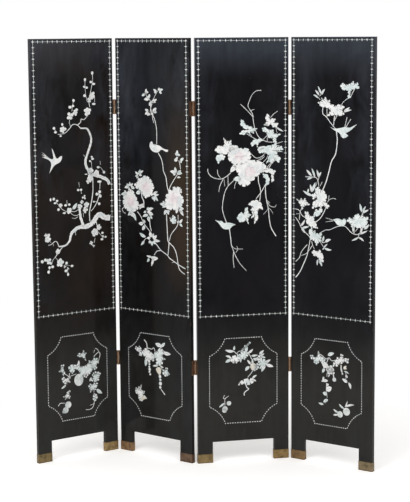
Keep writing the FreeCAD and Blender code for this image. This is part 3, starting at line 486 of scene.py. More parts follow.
# The flowers and birds above are shaped plates of shell, laid on one by one: branches
# first, then leaves, petals and birds, with a few lines engraved in them and blackened.
# Places and widths are counted on a squared grid, 406 squares to the board's width.
PLUM_SHARES = {
    "stems": [
        (16, 7, [(382, 1196), (368, 1216), (340, 1230), (305, 1240), (282, 1252), (266, 1278), (261, 1305),
         (276, 1345), (291, 1385), (289, 1412), (272, 1442), (240, 1446)]),
        (7, 4, [(240, 1446), (222, 1461), (200, 1463), (184, 1446), (160, 1428), (126, 1424)]),
        (6, 5, [(224, 1460), (240, 1472), (243, 1485), (258, 1483), (277, 1500)]),
        (6, 4, [(288, 1535), (283, 1565), (293, 1600), (303, 1645), (304, 1678)]),
        (7, 9, [(297, 1222), (296, 1170), (288, 1125), (277, 1080), (278, 1040)]),
        (26, 22, [(382, 1048), (355, 1052), (326, 1066), (308, 1052), (292, 1030)]),
        (22, 12, [(292, 1030), (262, 1019), (222, 1018), (190, 1000), (180, 985)]),
        (11, 6, [(180, 985), (174, 962), (152, 944), (120, 942)]),
        (6, 5, [(120, 942), (113, 960), (102, 966), (84, 955), (69, 952)]),
        (14, 10, [(245, 1020), (232, 1060), (227, 1098)]), (4, 3, [(165, 1088), (140, 1103), (112, 1134)]),
        (6, 5, [(140, 940), (120, 920), (100, 896)]),
        (3, 3, [(275, 1560), (268, 1590), (266, 1625), (266, 1652)]),
        (4, 3, [(186, 1484), (184, 1470), (190, 1456)]), (3, 2, [(198, 1520), (202, 1545), (207, 1564)]),
        (3, 3, [(120, 1430), (112, 1446)]), (3, 3, [(313, 1582), (312, 1556)]),
        (3, 3, [(294, 1262), (292, 1285), (290, 1300)]), (4, 3, [(325, 1273), (337, 1272), (352, 1253)]),
        (3, 2, [(336, 1284), (335, 1300)]), (3, 2, [(252, 1331), (262, 1318)]),
        (5, 5, [(333, 1205), (331, 1176)]), (6, 5, [(327, 1148), (316, 1122), (300, 1098), (284, 1084)]),
        (3, 3, [(297, 1126), (314, 1122), (325, 1114)]),
        (4, 4, [(226, 1098), (208, 1089), (194, 1088), (180, 1096)]),
        (4, 4, [(226, 1074), (206, 1070), (190, 1076), (180, 1086)]),
        (4, 3, [(218, 1064), (204, 1058), (188, 1061)]), (3, 3, [(245, 1080), (246, 1062)]),
        (3, 3, [(236, 1178), (238, 1162)]), (3, 2, [(226, 1214), (228, 1192)]),
        (3, 3, [(164, 1140), (165, 1124)]), (4, 3, [(203, 1004), (205, 984)]),
        (7, 5, [(310, 1036), (316, 1014)]), (3, 3, [(318, 992), (334, 974), (346, 966), (356, 964)]),
        (3, 3, [(303, 964), (298, 944)]), (4, 3, [(102, 898), (90, 886), (82, 866)]),
        (3, 3, [(102, 896), (114, 882)]), (3, 3, [(60, 884), (40, 884)]), (3, 2, [(74, 852), (68, 838)]),
        (3, 2, [(148, 862), (158, 858), (182, 852)]), (3, 2, [(160, 840), (163, 820)]),
        (3, 3, [(82, 962), (74, 970)]), (3, 2, [(94, 956), (92, 946)]),
    ],
    "leaves": [
        (192, 1098, 214, 1124, 18),
    ],
    "flowers": [
        (276, 1517, 19, 5, 20), (300, 1584, 17, 5, 50), (189, 1500, 18, 4, 30), (286, 1258, 17, 5, 10),
        (284, 1228, 17, 5, 45), (326, 1157, 18, 3, 60), (125, 871, 18, 5, 10), (70, 882, 15, 4, 50),
        (66, 978, 16, 5, 0), (302, 990, 19, 5, 35), (150, 1443, 14, 5, 0), (317, 1250, 14, 5, 30),
        (262, 1112, 14, 5, 15), (228, 1108, 13, 5, 0), (175, 1094, 14, 5, 40), (213, 1513, 13, 4, 20),
        (285, 1564, 12, 4, 40), (255, 1090, 13, 4, 10), (250, 1147, 11, 3, 70), (240, 1127, 9, 4, 0),
        (115, 920, 13, 5, 30), (322, 1010, 13, 5, 0), (133, 1120, 9, 5, 0), (283, 944, 9, 4, 20),
        (147, 853, 7, 3, 0), (57, 996, 8, 4, 0), (71, 996, 8, 4, 45), (295, 930, 7, 3, 30),
        (163, 842, 7, 3, 0), (273, 1216, 11, 4, 0),
    ],
    "buds": [
        (303, 1681, 6, 7), (309, 1634, 8, 5), (295, 1643, 6, 5), (263, 1585, 7, 6), (262, 1623, 6, 5),
        (274, 1619, 6, 5), (266, 1653, 5, 7), (221, 1526, 7, 6), (189, 1538, 8, 6), (204, 1543, 6, 5),
        (207, 1566, 6, 6), (308, 1548, 9, 5), (149, 1466, 5, 6), (163, 1446, 6, 6), (108, 1451, 6, 6),
        (115, 1434, 7, 5), (293, 1320, 5, 4), (297, 1311, 7, 5), (284, 1302, 5, 4), (325, 1273, 7, 5),
        (354, 1250, 6, 6), (330, 1210, 11, 5), (263, 1246, 7, 2), (327, 1113, 6, 6), (222, 1180, 6, 5),
        (236, 1180, 6, 5), (100, 1149, 6, 6), (106, 1131, 7, 4), (116, 1140, 6, 5), (122, 1102, 6, 6),
        (84, 1147, 4, 7), (158, 1118, 7, 5), (176, 1120, 6, 5), (150, 1085, 8, 4), (52, 890, 6, 6),
        (37, 884, 7, 7), (87, 857, 7, 6), (72, 855, 6, 6), (67, 836, 6, 7), (157, 867, 6, 6),
        (153, 833, 7, 6), (163, 817, 5, 7), (184, 852, 7, 5), (341, 984, 6, 5), (343, 968, 5, 5),
        (357, 965, 5, 4), (338, 956, 7, 5), (140, 1417, 5, 4), (300, 1124, 5, 4),
    ],
    "birds": [
        [(45, 1355), (66, 1340), (80, 1328), (92, 1321), (102, 1322), (98, 1344), (94, 1369), (107, 1350),
         (115, 1325), (124, 1322), (136, 1332), (147, 1332), (144, 1315), (133, 1302), (110, 1295),
         (95, 1277), (80, 1258), (89, 1288), (90, 1305), (80, 1316), (64, 1323), (44, 1333), (62, 1332),
         (42, 1345), (60, 1339)],
    ],
    "eyes": [
        (138, 1325),
    ],
}
PEONY_SHARES = {
    "stems": [
        (6, 5, [(228, 1378), (229, 1420), (227, 1450), (218, 1484), (209, 1500), (197, 1530),
         (200, 1556)]),
        (7, 7, [(236, 1340), (250, 1321), (259, 1297), (264, 1265), (277, 1238), (284, 1196), (291, 1178),
         (290, 1158)]),
        (6, 5, [(291, 1180), (305, 1208), (328, 1238), (344, 1258)]),
        (8, 8, [(278, 1080), (280, 1035), (284, 968), (290, 955), (284, 903)]),
        (7, 6, [(379, 851), (345, 864), (320, 876), (292, 890), (280, 902), (246, 920), (226, 938),
         (212, 952)]),
        (6, 7, [(376, 827), (352, 840), (341, 858), (332, 905), (318, 936), (288, 960)]),
        (6, 5, [(292, 965), (304, 996), (338, 1036), (342, 1080)]),
        (6, 5, [(115, 1080), (134, 1060), (152, 1030), (198, 985)]),
        (9, 8, [(138, 1175), (142, 1145), (151, 1128), (152, 1100)]),
        (6, 5, [(246, 920), (222, 914), (206, 896)]), (5, 4, [(214, 1468), (206, 1492), (210, 1508)]),
        (4, 4, [(206, 1560), (218, 1578), (226, 1592), (236, 1604)]),
        (4, 4, [(170, 1594), (176, 1580), (188, 1572), (198, 1558)]),
        (5, 5, [(358, 1276), (354, 1298), (349, 1315)]), (5, 4, [(206, 1550), (198, 1535), (194, 1512)]),
        (8, 7, [(184, 1056), (185, 1030), (192, 1000)]), (5, 4, [(122, 1235), (120, 1218)]),
        (5, 4, [(38, 1094), (28, 1086), (34, 1074), (46, 1068)]), (4, 3, [(345, 1246), (356, 1240)]),
        (5, 4, [(150, 954), (160, 966), (172, 966)]), (3, 2, [(306, 872), (320, 876)]),
        (4, 3, [(150, 1048), (148, 1036)]),
    ],
    "leaves": [
        (170, 1594, 173, 1614, 13), (171, 1596, 186, 1600, 12), (166, 1592, 147, 1583, 13),
        (187, 1573, 192, 1592, 13), (184, 1571, 176, 1584, 10), (188, 1568, 160, 1568, 17),
        (200, 1556, 232, 1570, 15), (200, 1558, 189, 1541, 16), (206, 1558, 226, 1556, 10),
        (232, 1602, 213, 1613, 13), (230, 1598, 217, 1600, 9), (240, 1606, 246, 1620, 11),
        (244, 1609, 267, 1612, 12), (246, 1606, 257, 1593, 13), (184, 1516, 165, 1504, 16),
        (184, 1519, 166, 1526, 15), (184, 1512, 179, 1498, 13), (190, 1510, 192, 1500, 11),
        (208, 1514, 228, 1534, 19), (212, 1516, 230, 1514, 14), (208, 1512, 200, 1502, 13),
        (341, 1333, 341, 1357, 16), (340, 1334, 328, 1342, 11), (344, 1336, 356, 1336, 11),
        (342, 1320, 322, 1312, 18), (344, 1322, 334, 1328, 10), (356, 1314, 374, 1326, 15),
        (357, 1312, 364, 1304, 11), (331, 1258, 300, 1265, 17), (333, 1260, 327, 1285, 16),
        (336, 1258, 366, 1259, 18), (340, 1260, 360, 1272, 13), (330, 1256, 316, 1252, 13),
        (338, 1240, 358, 1241, 9), (124, 1242, 135, 1265, 12), (127, 1245, 152, 1261, 12),
        (124, 1243, 105, 1255, 12), (122, 1238, 105, 1235, 12), (127, 1240, 143, 1240, 11),
        (122, 1236, 112, 1226, 10), (72, 1189, 55, 1199, 13), (74, 1190, 73, 1207, 12),
        (77, 1189, 92, 1203, 11), (80, 1187, 101, 1180, 16), (68, 1185, 43, 1181, 16),
        (71, 1183, 66, 1170, 12), (54, 1158, 22, 1150, 15), (52, 1160, 42, 1169, 11),
        (50, 1155, 34, 1144, 12), (134, 1170, 108, 1161, 21), (204, 1158, 230, 1174, 13),
        (210, 1158, 237, 1162, 11), (212, 1156, 232, 1134, 14), (208, 1154, 214, 1130, 12),
        (202, 1152, 202, 1138, 10), (122, 1108, 152, 1103, 17), (136, 1106, 127, 1091, 12),
        (138, 1106, 148, 1117, 11), (92, 1082, 60, 1060, 20), (86, 1076, 107, 1040, 18),
        (70, 1074, 92, 1056, 16), (174, 1088, 205, 1100, 16), (168, 1090, 178, 1104, 11),
        (166, 1084, 150, 1078, 11), (178, 1074, 204, 1073, 20), (176, 1069, 144, 1060, 15),
        (176, 1064, 182, 1040, 19), (170, 1080, 190, 1084, 14), (186, 1066, 198, 1054, 12),
        (148, 1031, 121, 1029, 19), (158, 1034, 148, 1046, 12), (156, 1022, 141, 1001, 18),
        (160, 972, 125, 988, 17), (152, 955, 132, 934, 13), (190, 972, 184, 998, 17),
        (196, 972, 205, 992, 12), (200, 968, 222, 984, 17), (204, 964, 240, 960, 15),
        (200, 958, 213, 944, 15), (194, 956, 196, 936, 16), (188, 958, 178, 946, 15),
        (186, 966, 168, 970, 15), (270, 1119, 242, 1122, 16), (268, 1122, 259, 1136, 11),
        (266, 1116, 256, 1106, 11), (276, 1098, 265, 1076, 16), (280, 1098, 290, 1078, 16),
        (284, 1096, 297, 1092, 11), (340, 1108, 332, 1086, 17), (348, 1108, 369, 1090, 16),
        (351, 1112, 373, 1108, 14), (350, 1100, 371, 1078, 14), (350, 1188, 364, 1176, 14),
        (347, 1046, 365, 1064, 13), (350, 1044, 365, 1031, 12), (334, 1048, 346, 1054, 9),
        (188, 884, 229, 884, 22), (202, 884, 190, 846, 14), (192, 888, 163, 891, 11),
        (178, 880, 166, 863, 13),
    ],
    "plates": [
        [(98, 1198), (118, 1210), (122, 1225), (141, 1228), (154, 1239), (178, 1236), (195, 1221),
         (205, 1203), (211, 1190), (201, 1174), (204, 1158), (180, 1150), (162, 1141), (150, 1153),
         (134, 1176), (110, 1182)],
        [(60, 1164), (78, 1176), (94, 1168), (103, 1149), (123, 1112), (119, 1092), (100, 1080),
         (64, 1079), (42, 1093), (33, 1114), (37, 1146)],
        [(314, 1198), (352, 1199), (363, 1190), (352, 1172), (368, 1160), (373, 1142), (360, 1118),
         (337, 1104), (292, 1101), (262, 1112), (272, 1124), (272, 1142), (284, 1158), (318, 1178)],
        [(297, 1066), (304, 1062), (313, 1077), (325, 1070), (330, 1056), (326, 1044), (312, 1042),
         (301, 1052)],
    ],
    "birds": [
        [(204, 1391), (194, 1388), (187, 1378), (187, 1364), (197, 1349), (216, 1341), (238, 1341),
         (253, 1357), (286, 1343), (293, 1356), (260, 1363), (246, 1373), (224, 1378), (208, 1377)],
    ],
    "peonies": [
        (168, 1192, 40), (78, 1124, 41), (318, 1148, 44),
    ],
    "eyes": [
        (195, 1380),
    ],
}
ROSE_SHARES = {
    "stems": [
        (4, 5, [(286, 1606), (264, 1604), (246, 1588), (232, 1558), (229, 1538), (248, 1506), (250, 1484),
         (257, 1448), (270, 1416), (288, 1396)]),
        (4, 5, [(195, 1550), (226, 1520), (249, 1496)]),
        (5, 5, [(51, 1280), (54, 1262), (70, 1244), (100, 1235), (124, 1240), (152, 1260)]),
        (5, 5, [(170, 1232), (140, 1204), (124, 1174), (115, 1125), (116, 1094), (132, 1046)]),
        (6, 6, [(272, 1244), (273, 1218), (282, 1180), (278, 1134)]),
        (6, 7, [(302, 1204), (306, 1150), (316, 1100), (320, 1060), (328, 1020), (350, 982)]),
        (7, 3, [(144, 1020), (150, 976), (153, 950), (166, 914), (188, 872), (219, 836)]),
        (5, 4, [(290, 1396), (300, 1404), (316, 1420)]),
        (4, 4, [(222, 1424), (238, 1414), (258, 1402), (272, 1396)]),
        (4, 3, [(240, 1516), (247, 1525), (256, 1525)]), (4, 4, [(292, 1396), (312, 1388), (336, 1386)]),
        (4, 3, [(326, 1490), (340, 1505), (358, 1517)]), (4, 4, [(93, 1275), (96, 1254), (106, 1240)]),
        (5, 4, [(120, 1238), (104, 1205), (99, 1180)]), (3, 3, [(122, 1232), (125, 1204)]),
        (4, 4, [(139, 1250), (140, 1204)]), (4, 3, [(175, 1222), (169, 1206), (168, 1192)]),
        (5, 5, [(302, 1204), (286, 1176), (262, 1146)]),
        (4, 3, [(312, 1130), (324, 1113), (344, 1108), (351, 1118)]),
        (3, 2, [(316, 1102), (304, 1088), (294, 1078)]), (3, 2, [(320, 1104), (330, 1092), (337, 1080)]),
        (4, 3, [(308, 1140), (322, 1126)]), (5, 4, [(162, 922), (160, 888), (164, 852)]),
        (4, 3, [(155, 946), (170, 934), (203, 932)]), (3, 3, [(176, 946), (181, 932), (172, 918)]),
        (4, 4, [(236, 1344), (256, 1324), (272, 1320), (298, 1332)]),
        (3, 3, [(268, 1308), (288, 1322), (300, 1340)]), (3, 3, [(262, 1310), (282, 1312), (300, 1326)]),
        (4, 3, [(290, 1298), (308, 1316), (314, 1330)]), (4, 3, [(312, 1280), (330, 1302), (342, 1330)]),
        (5, 4, [(318, 1276), (334, 1298), (352, 1312)]), (3, 3, [(312, 1410), (312, 1390)]),
        (4, 3, [(346, 1378), (362, 1382), (381, 1388)]), (3, 3, [(352, 1372), (366, 1370)]),
        (3, 3, [(228, 1434), (244, 1414)]), (3, 2, [(350, 1444), (356, 1424)]),
    ],
    "leaves": [
        (176, 1290, 150, 1262, 24), (198, 1232, 162, 1232, 26), (350, 1450, 383, 1430, 9),
        (244, 1094, 256, 1076, 10), (300, 1362, 272, 1352, 10), (330, 1352, 380, 1344, 8),
        (318, 1458, 296, 1462, 8),
    ],
    "plates": [
        [(142, 1352), (146, 1372), (186, 1362), (228, 1361), (237, 1342), (240, 1322), (222, 1303),
         (200, 1294), (162, 1298), (142, 1316), (140, 1338)],
        [(160, 1292), (200, 1306), (244, 1311), (284, 1303), (300, 1292), (316, 1272), (290, 1262),
         (274, 1248), (246, 1232), (232, 1208), (208, 1199), (184, 1214), (190, 1244), (176, 1268)],
        [(83, 1358), (98, 1376), (116, 1374), (124, 1386), (121, 1409), (132, 1398), (146, 1396),
         (153, 1398), (158, 1378), (180, 1374), (186, 1362), (150, 1350), (132, 1340), (98, 1346)],
        [(98, 1300), (88, 1324), (92, 1334), (112, 1340), (127, 1330), (120, 1316), (110, 1314)],
        [(198, 1484), (208, 1480), (216, 1462), (246, 1452), (240, 1444), (214, 1446), (196, 1462)],
        [(190, 1424), (204, 1438), (226, 1442), (248, 1446), (268, 1446), (256, 1434), (252, 1424),
         (240, 1432), (236, 1420), (222, 1430), (212, 1420)],
        [(240, 1382), (252, 1396), (284, 1402), (292, 1394), (276, 1384), (268, 1366), (262, 1380),
         (246, 1370)],
        [(312, 1506), (304, 1488), (308, 1474), (298, 1460), (318, 1456), (328, 1462), (336, 1450),
         (352, 1450), (360, 1466), (344, 1468), (348, 1484), (332, 1486), (324, 1484), (320, 1500)],
        [(290, 1446), (302, 1450), (318, 1440), (338, 1438), (344, 1422), (371, 1420), (352, 1402),
         (352, 1384), (338, 1386), (336, 1400), (318, 1406), (306, 1428), (294, 1432)],
        [(270, 1356), (276, 1366), (330, 1374), (352, 1384), (356, 1366), (374, 1368), (381, 1352),
         (362, 1350), (356, 1332), (370, 1318), (362, 1298), (346, 1308), (330, 1298), (318, 1302),
         (308, 1296), (318, 1330), (296, 1342), (278, 1340)],
        [(298, 1272), (326, 1272), (348, 1262), (340, 1244), (341, 1222), (330, 1216), (332, 1250),
         (318, 1258), (286, 1260)],
        [(292, 1252), (312, 1248), (321, 1228), (318, 1208), (302, 1200), (306, 1226), (296, 1236)],
        [(228, 1122), (244, 1136), (264, 1140), (284, 1126), (291, 1098), (280, 1104), (270, 1094),
         (270, 1062), (254, 1039), (254, 1066), (240, 1064), (250, 1090), (238, 1098), (246, 1114)],
        [(178, 1066), (186, 1080), (198, 1090), (208, 1084), (214, 1106), (224, 1110), (230, 1086),
         (240, 1078), (228, 1064), (228, 1038), (218, 1054), (206, 1050), (190, 1049)],
    ],
    "birds": [
        [(80, 1062), (100, 1057), (112, 1058), (120, 1047), (136, 1050), (156, 1046), (173, 1038),
         (156, 1030), (148, 1018), (122, 1017), (109, 1027), (98, 1044)],
    ],
    "peonies": [
        (188, 1328, 36), (236, 1262, 42),
    ],
    "eyes": [
        (161, 1040),
    ],
}
MAGNOLIA_SHARES = {
    "stems": [
        (8, 8, [(224, 1440), (229, 1402), (225, 1362), (218, 1336), (201, 1310), (190, 1270), (176, 1226),
         (157, 1184)]),
        (6, 6, [(158, 1538), (158, 1510), (176, 1496), (196, 1472), (222, 1446)]),
        (4, 4, [(292, 1580), (270, 1570), (254, 1556), (246, 1540)]),
        (9, 6, [(24, 803), (46, 830), (62, 862), (80, 900), (90, 940), (98, 978)]),
        (6, 5, [(24, 872), (42, 890), (54, 918), (82, 950)]),
        (5, 5, [(146, 1004), (172, 1018), (194, 1021), (232, 1037), (268, 1040), (296, 1018), (316, 1010),
         (336, 1010)]),
        (7, 6, [(176, 1118), (164, 1092), (146, 1066), (120, 1046)]),
        (5, 5, [(22, 1100), (40, 1095), (58, 1072), (78, 1064)]),
        (5, 5, [(22, 1064), (42, 1040), (54, 1018), (94, 984)]),
        (5, 4, [(72, 1240), (118, 1240), (134, 1228), (141, 1194)]),
        (7, 6, [(216, 1506), (213, 1484), (211, 1462)]), (5, 4, [(312, 1616), (300, 1596), (292, 1580)]),
        (5, 4, [(178, 1530), (179, 1498)]), (5, 4, [(230, 1508), (214, 1480)]),
        (5, 4, [(265, 1455), (270, 1476), (276, 1498)]), (5, 4, [(270, 1456), (284, 1476), (294, 1490)]),
        (4, 4, [(142, 1582), (150, 1590), (156, 1592)]), (4, 3, [(134, 1578), (146, 1566)]),
        (4, 3, [(156, 1222), (146, 1204)]), (5, 4, [(141, 1244), (134, 1222)]),
        (4, 3, [(180, 1136), (194, 1150), (212, 1155), (224, 1152)]), (4, 3, [(190, 1166), (187, 1148)]),
        (5, 4, [(56, 1106), (46, 1088), (42, 1054)]), (4, 3, [(26, 1078), (40, 1080)]),
        (5, 4, [(106, 946), (92, 926), (76, 910), (52, 900)]),
        (4, 4, [(104, 966), (110, 946), (118, 934)]), (4, 3, [(148, 964), (158, 952), (166, 942)]),
        (5, 4, [(152, 966), (164, 964), (176, 970)]), (5, 4, [(335, 1014), (333, 994)]),
        (7, 5, [(346, 1046), (344, 1016)]), (8, 6, [(312, 1046), (312, 1014)]),
        (4, 3, [(330, 1036), (318, 1022)]), (4, 3, [(206, 1064), (174, 1070)]),
        (4, 3, [(210, 1060), (174, 1053)]), (4, 3, [(120, 1200), (128, 1210), (130, 1220)]),
        (5, 4, [(356, 1100), (346, 1090)]),
    ],
    "leaves": [
        (152, 1590, 134, 1624, 10), (152, 1588, 168, 1613, 10), (140, 1586, 121, 1608, 10),
        (136, 1574, 110, 1588, 9), (260, 1522, 289, 1539, 10), (260, 1518, 298, 1528, 9),
        (104, 1244, 78, 1270, 12), (120, 1240, 104, 1277, 11), (138, 1240, 129, 1272, 12),
        (108, 1240, 80, 1228, 11), (104, 1176, 96, 1209, 12), (104, 1176, 122, 1219, 15),
        (108, 1160, 60, 1180, 13), (48, 1026, 70, 1056, 11), (52, 1018, 92, 1028, 11),
        (170, 966, 200, 980, 14), (168, 940, 204, 935, 11), (350, 1104, 339, 1141, 12),
        (352, 1102, 382, 1117, 10), (360, 1034, 384, 1057, 12), (334, 998, 301, 981, 9),
        (334, 998, 360, 983, 9), (138, 1240, 151, 1264, 10), (52, 1020, 70, 998, 12),
        (160, 968, 165, 993, 11), (164, 940, 183, 960, 8), (354, 1106, 368, 1131, 9),
        (136, 890, 132, 864, 10), (142, 884, 156, 861, 11), (330, 1012, 378, 1030, 9),
        (168, 940, 158, 934, 7), (88, 1190, 84, 1170, 9), (310, 1048, 306, 1020, 12),
        (352, 1040, 340, 1012, 10),
    ],
    "plates": [
        [(243, 1626), (254, 1638), (268, 1632), (292, 1638), (305, 1646), (312, 1635), (324, 1641),
         (332, 1618), (300, 1612), (292, 1596), (290, 1578), (280, 1578), (280, 1606), (256, 1611)],
        [(134, 1556), (150, 1562), (152, 1576), (160, 1569), (171, 1579), (178, 1567), (192, 1566),
         (194, 1550), (208, 1548), (218, 1540), (232, 1549), (263, 1540), (252, 1526), (262, 1510),
         (244, 1504), (216, 1504), (180, 1502), (196, 1520), (184, 1532), (150, 1540)],
        [(122, 1190), (134, 1198), (150, 1188), (164, 1184), (178, 1162), (174, 1136), (191, 1122),
         (180, 1110), (166, 1120), (134, 1114), (107, 1106), (112, 1134), (130, 1146), (126, 1158),
         (112, 1145), (105, 1164), (120, 1176)],
        [(28, 1143), (42, 1138), (52, 1147), (60, 1139), (70, 1148), (80, 1134), (94, 1122), (70, 1115),
         (56, 1099), (46, 1118)],
        [(70, 1090), (86, 1089), (94, 1074), (108, 1072), (124, 1044), (134, 1022), (120, 1024),
         (94, 1032), (80, 1042), (74, 1066)],
        [(150, 1120), (156, 1098), (140, 1080), (112, 1070), (116, 1084), (126, 1104), (140, 1102)],
        [(92, 1010), (106, 1026), (108, 1010), (122, 1012), (124, 1002), (154, 1002), (152, 976),
         (158, 966), (142, 964), (128, 949), (118, 966), (98, 974)],
        [(106, 918), (116, 928), (132, 924), (144, 931), (160, 908), (162, 880), (146, 884), (130, 902),
         (118, 903)],
        [(278, 1064), (290, 1079), (302, 1074), (318, 1090), (332, 1096), (344, 1088), (352, 1100),
         (358, 1086), (379, 1086), (372, 1056), (362, 1042), (336, 1040), (300, 1040), (294, 1052)],
    ],
    "birds": [
        [(190, 1457), (210, 1449), (240, 1452), (264, 1459), (282, 1455), (300, 1460), (326, 1471),
         (310, 1456), (292, 1440), (270, 1431), (284, 1420), (262, 1407), (247, 1413), (242, 1428),
         (214, 1440)],
        [(206, 1064), (216, 1069), (234, 1074), (256, 1066), (262, 1076), (273, 1070), (277, 1061),
         (266, 1040), (244, 1038), (228, 1044), (220, 1056)],
    ],
    "eyes": [
        (264, 1414), (268, 1069),
    ],
}
LINE_LIFT = 0.72
LINE_THICKNESS = 0.1
LINE_SLOPE = 0.02
RUN_STEPS = 6
BRANCH_LEAST = 9.0
BRANCH_SHARE = 0.95
STEM_SHARE = 0.5
KNOT_SHARE = 0.22
BRANCH_KNOT_SHARE = 0.2
GRAIN_SWAY_SHARE = 0.2
GRAIN_STEP = 0.7
GRAIN_WIDTH = 0.56
LEAF_STEPS = 7
LEAF_SHARE = 0.85
LEAF_SKEW = 0.82
LEAF_FULLNESS = 0.8
LEAF_BEND_SHARES = (-0.08, 0.08)
RIB_SHARES = (0.1, 0.3, 0.5, 0.7, 0.84)
RIB_WIDTHS = (0.84, 0.35)
NICK_PITCH = 8.0
NICK_REACH = 0.8
PETAL_STEPS = 12
PETAL_ROOT_SHARE = 0.75
PETAL_WIDEST_SHARE = 0.95
PETAL_START_SHARE = 0.16
PETAL_TURN_SHARES = (-0.12, 0.12)
PETAL_REACH_SHARES = (0.82, 1.12)
PETAL_WIDTH_SHARES = (0.85, 1.0)
PETAL_VEIN_SHARES = (0.4, 0.75)
PETAL_VEIN_WIDTHS = (0.7, 0.28)
FLOWER_EYE_SHARES = (0.2, 0.16)
FLOWER_EYE_LIFT = 0.3
ROUND_STEPS = 20
TIP_ANGLE = math.radians(72)
BLUNTED_SHARE = 0.25
TIP_PUSH = 1.4
HOLLOW_PUSH = 2.24
LOBE_LEAST = 7.5
LOBE_SWELL_SHARE = 0.08
LOBE_FLANK_SHARE = 0.17
NOTCH_DEPTH_SHARE = 0.34
NOTCH_DEPTH_MOST = 5.5
NOTCH_GROWTH_SHARES = (0.7, 1.2)
NOTCH_PLACE_SHARES = (0.42, 0.58)
NOTCH_WIDTHS = (1.8, 0.5)
NOTCH_RUN_LEAST = 3.0
NOTCH_RUN_MOST = 7.0
PEONY_NOTCH_RUN_MOST = 6.0
SAWN_LEAST = 6.0
SAWN_SHARE = 0.62
SAWN_MOST = 16.0
SAWN_OVERRUN = 2.0
SAWN_WIDTHS = (3.4, 0.8)
SAWN_GROWTH_SHARES = (0.7, 1.1)
VEIN_ANGLE = math.radians(62)
VEIN_SHARES = (0.25, 0.6)
VEIN_WIDTHS = (0.42, 0.84)
FEATHER_ANGLE = math.radians(70)
FEATHER_SHARES = (0.4, 0.6, 0.85)
FEATHER_WIDTHS = (0.42, 0.84)
BIRD_TRIM = 1.5
EYE_REACH = 1.4
EYE_WAIST = 1.2
EYE_THICKNESS = 0.2
EYE_SLOPE = 0.05
AMBER_LIFT = 0.1
# A peony's heart, ring by ring: petals, where they start and end and how wide they are as
# shares of the head, their shell, how high they lie, and how far their rosy rim shows.
HEART_RINGS = ((9, 0.4, 1.0, 0.5, WHITE, 0.1, 0.3), (8, 0.2, 0.76, 0.46, WHITE, 0.24, 0.5),
               (6, 0.08, 0.56, 0.4, PINK, 0.38, 1.0), (4, 0.0, 0.32, 0.28, PINK, 0.52, 1.0))
HEART_REACH_SHARES = (0.9, 1.02)
HEART_SINK = 0.1
HEART_THICKNESS = 0.12
HEART_SLOPE = 0.08
RIM_THICKNESS = 0.06
PICTURE_SEED = 120
RIBBON_SEED = 7
ribbon_cut = random.Random(RIBBON_SEED)


def middle_of(outline):
    """The mean of an outline's points."""
    return sum((Vector(point) for point in outline), Vector((0, 0))) / len(outline)


def bend_at(outline, before, after):
    """How an outline bends from one side to the next: above zero at a tip, below in a hollow."""
    return before.cross(after) * signed_area(outline)


def circle(steps):
    """A round outline of one unit, as a list of points."""
    turns = [2 * math.pi * step / steps for step in range(steps)]
    return [(math.cos(turn), math.sin(turn)) for turn in turns]


def rounded(outline):
    """The outline with its blunt corners cut round and its sharp tips kept."""
    softened = []
    for here, before, after in corners(outline):
        if (-before).angle(after, math.pi) < TIP_ANGLE:
            softened.append(tuple(here))
        else:
            softened += [tuple(here - before * BLUNTED_SHARE), tuple(here + after * BLUNTED_SHARE)]
    return softened


def drawn_out(outline):
    """The outline with its points drawn out a little and its hollows deepened."""
    middle = middle_of(outline)
    moved = []
    for here, before, after in corners(outline):
        bend = math.copysign(1.0, bend_at(outline, before, after))
        push = TIP_PUSH if bend > 0 else -HOLLOW_PUSH
        moved.append(tuple(here + (here - middle).normalized() * push))
    return moved


def nicked(outline, cut):
    """The outline with the small uneven nicks of petals and leaves sawn by hand."""
    ragged = []
    for start, end in sides(outline):
        run = Vector(end) - Vector(start)
        side = run.orthogonal().normalized()
        steps = max(1, round(run.length / NICK_PITCH))
        for step in range(steps):
            push = cut.uniform(-NICK_REACH, NICK_REACH) if step else 0.0
            ragged.append(tuple(Vector(start) + run * step / steps + side * push))
    return ragged


def lobed(outline, notch_share, cut):
    """The outline with a notch sawn into each of its long sides, as between petals or the
    lobes of a leaf, and each notch's middle with the way in."""
    shape = []
    notches = []
    for start, end in sides(anticlockwise(outline)):
        start = Vector(start)
        run = Vector(end) - start
        inward = run.orthogonal().normalized()
        shape.append(tuple(start))
        if run.length > LOBE_LEAST:
            depth = min(NOTCH_DEPTH_SHARE * run.length, NOTCH_DEPTH_MOST) * notch_share
            depth *= cut.uniform(*NOTCH_GROWTH_SHARES)
            middle = start + run * cut.uniform(*NOTCH_PLACE_SHARES)
            swell = inward * LOBE_SWELL_SHARE * run.length * min(1.0, notch_share)
            flank = run * LOBE_FLANK_SHARE
            shape += [tuple(middle - flank - swell), tuple(middle + inward * depth),
                      tuple(middle + flank - swell)]
            notches.append((middle + inward * depth / 2, inward))
    return shape, notches


def smooth_run(points):
    """A smooth run through a stem's points."""
    spots = [Vector(point) for point in points]
    spots = [spots[0] * 2 - spots[1]] + spots + [spots[-1] * 2 - spots[-2]]
    run = []
    for a, b, c, d in zip(spots, spots[1:], spots[2:], spots[3:]):
        for step in range(RUN_STEPS):
            t = step / RUN_STEPS
            run.append(0.5 * (2 * b + (c - a) * t + (2 * a - 5 * b + 4 * c - d) * t ** 2
                              + (3 * b - a - 3 * c + d) * t ** 3))
    return run + [spots[-2]]


def ribbon(run, start, end, knots=0.0):
    """A tapering ribbon's outline along a run, each edge swelling here and there at knots."""
    left = []
    right = []
    last = len(run) - 1
    for index, spot in enumerate(run):
        way = (run[min(index + 1, last)] - run[max(index - 1, 0)]).normalized()
        side = way.orthogonal() * (start + (end - start) * index / last) / 2
        left.append(tuple(spot + side * (1 + knots * ribbon_cut.uniform(-1, 1))))
        right.append(tuple(spot - side * (1 + knots * ribbon_cut.uniform(-1, 1))))
    return left + right[::-1]


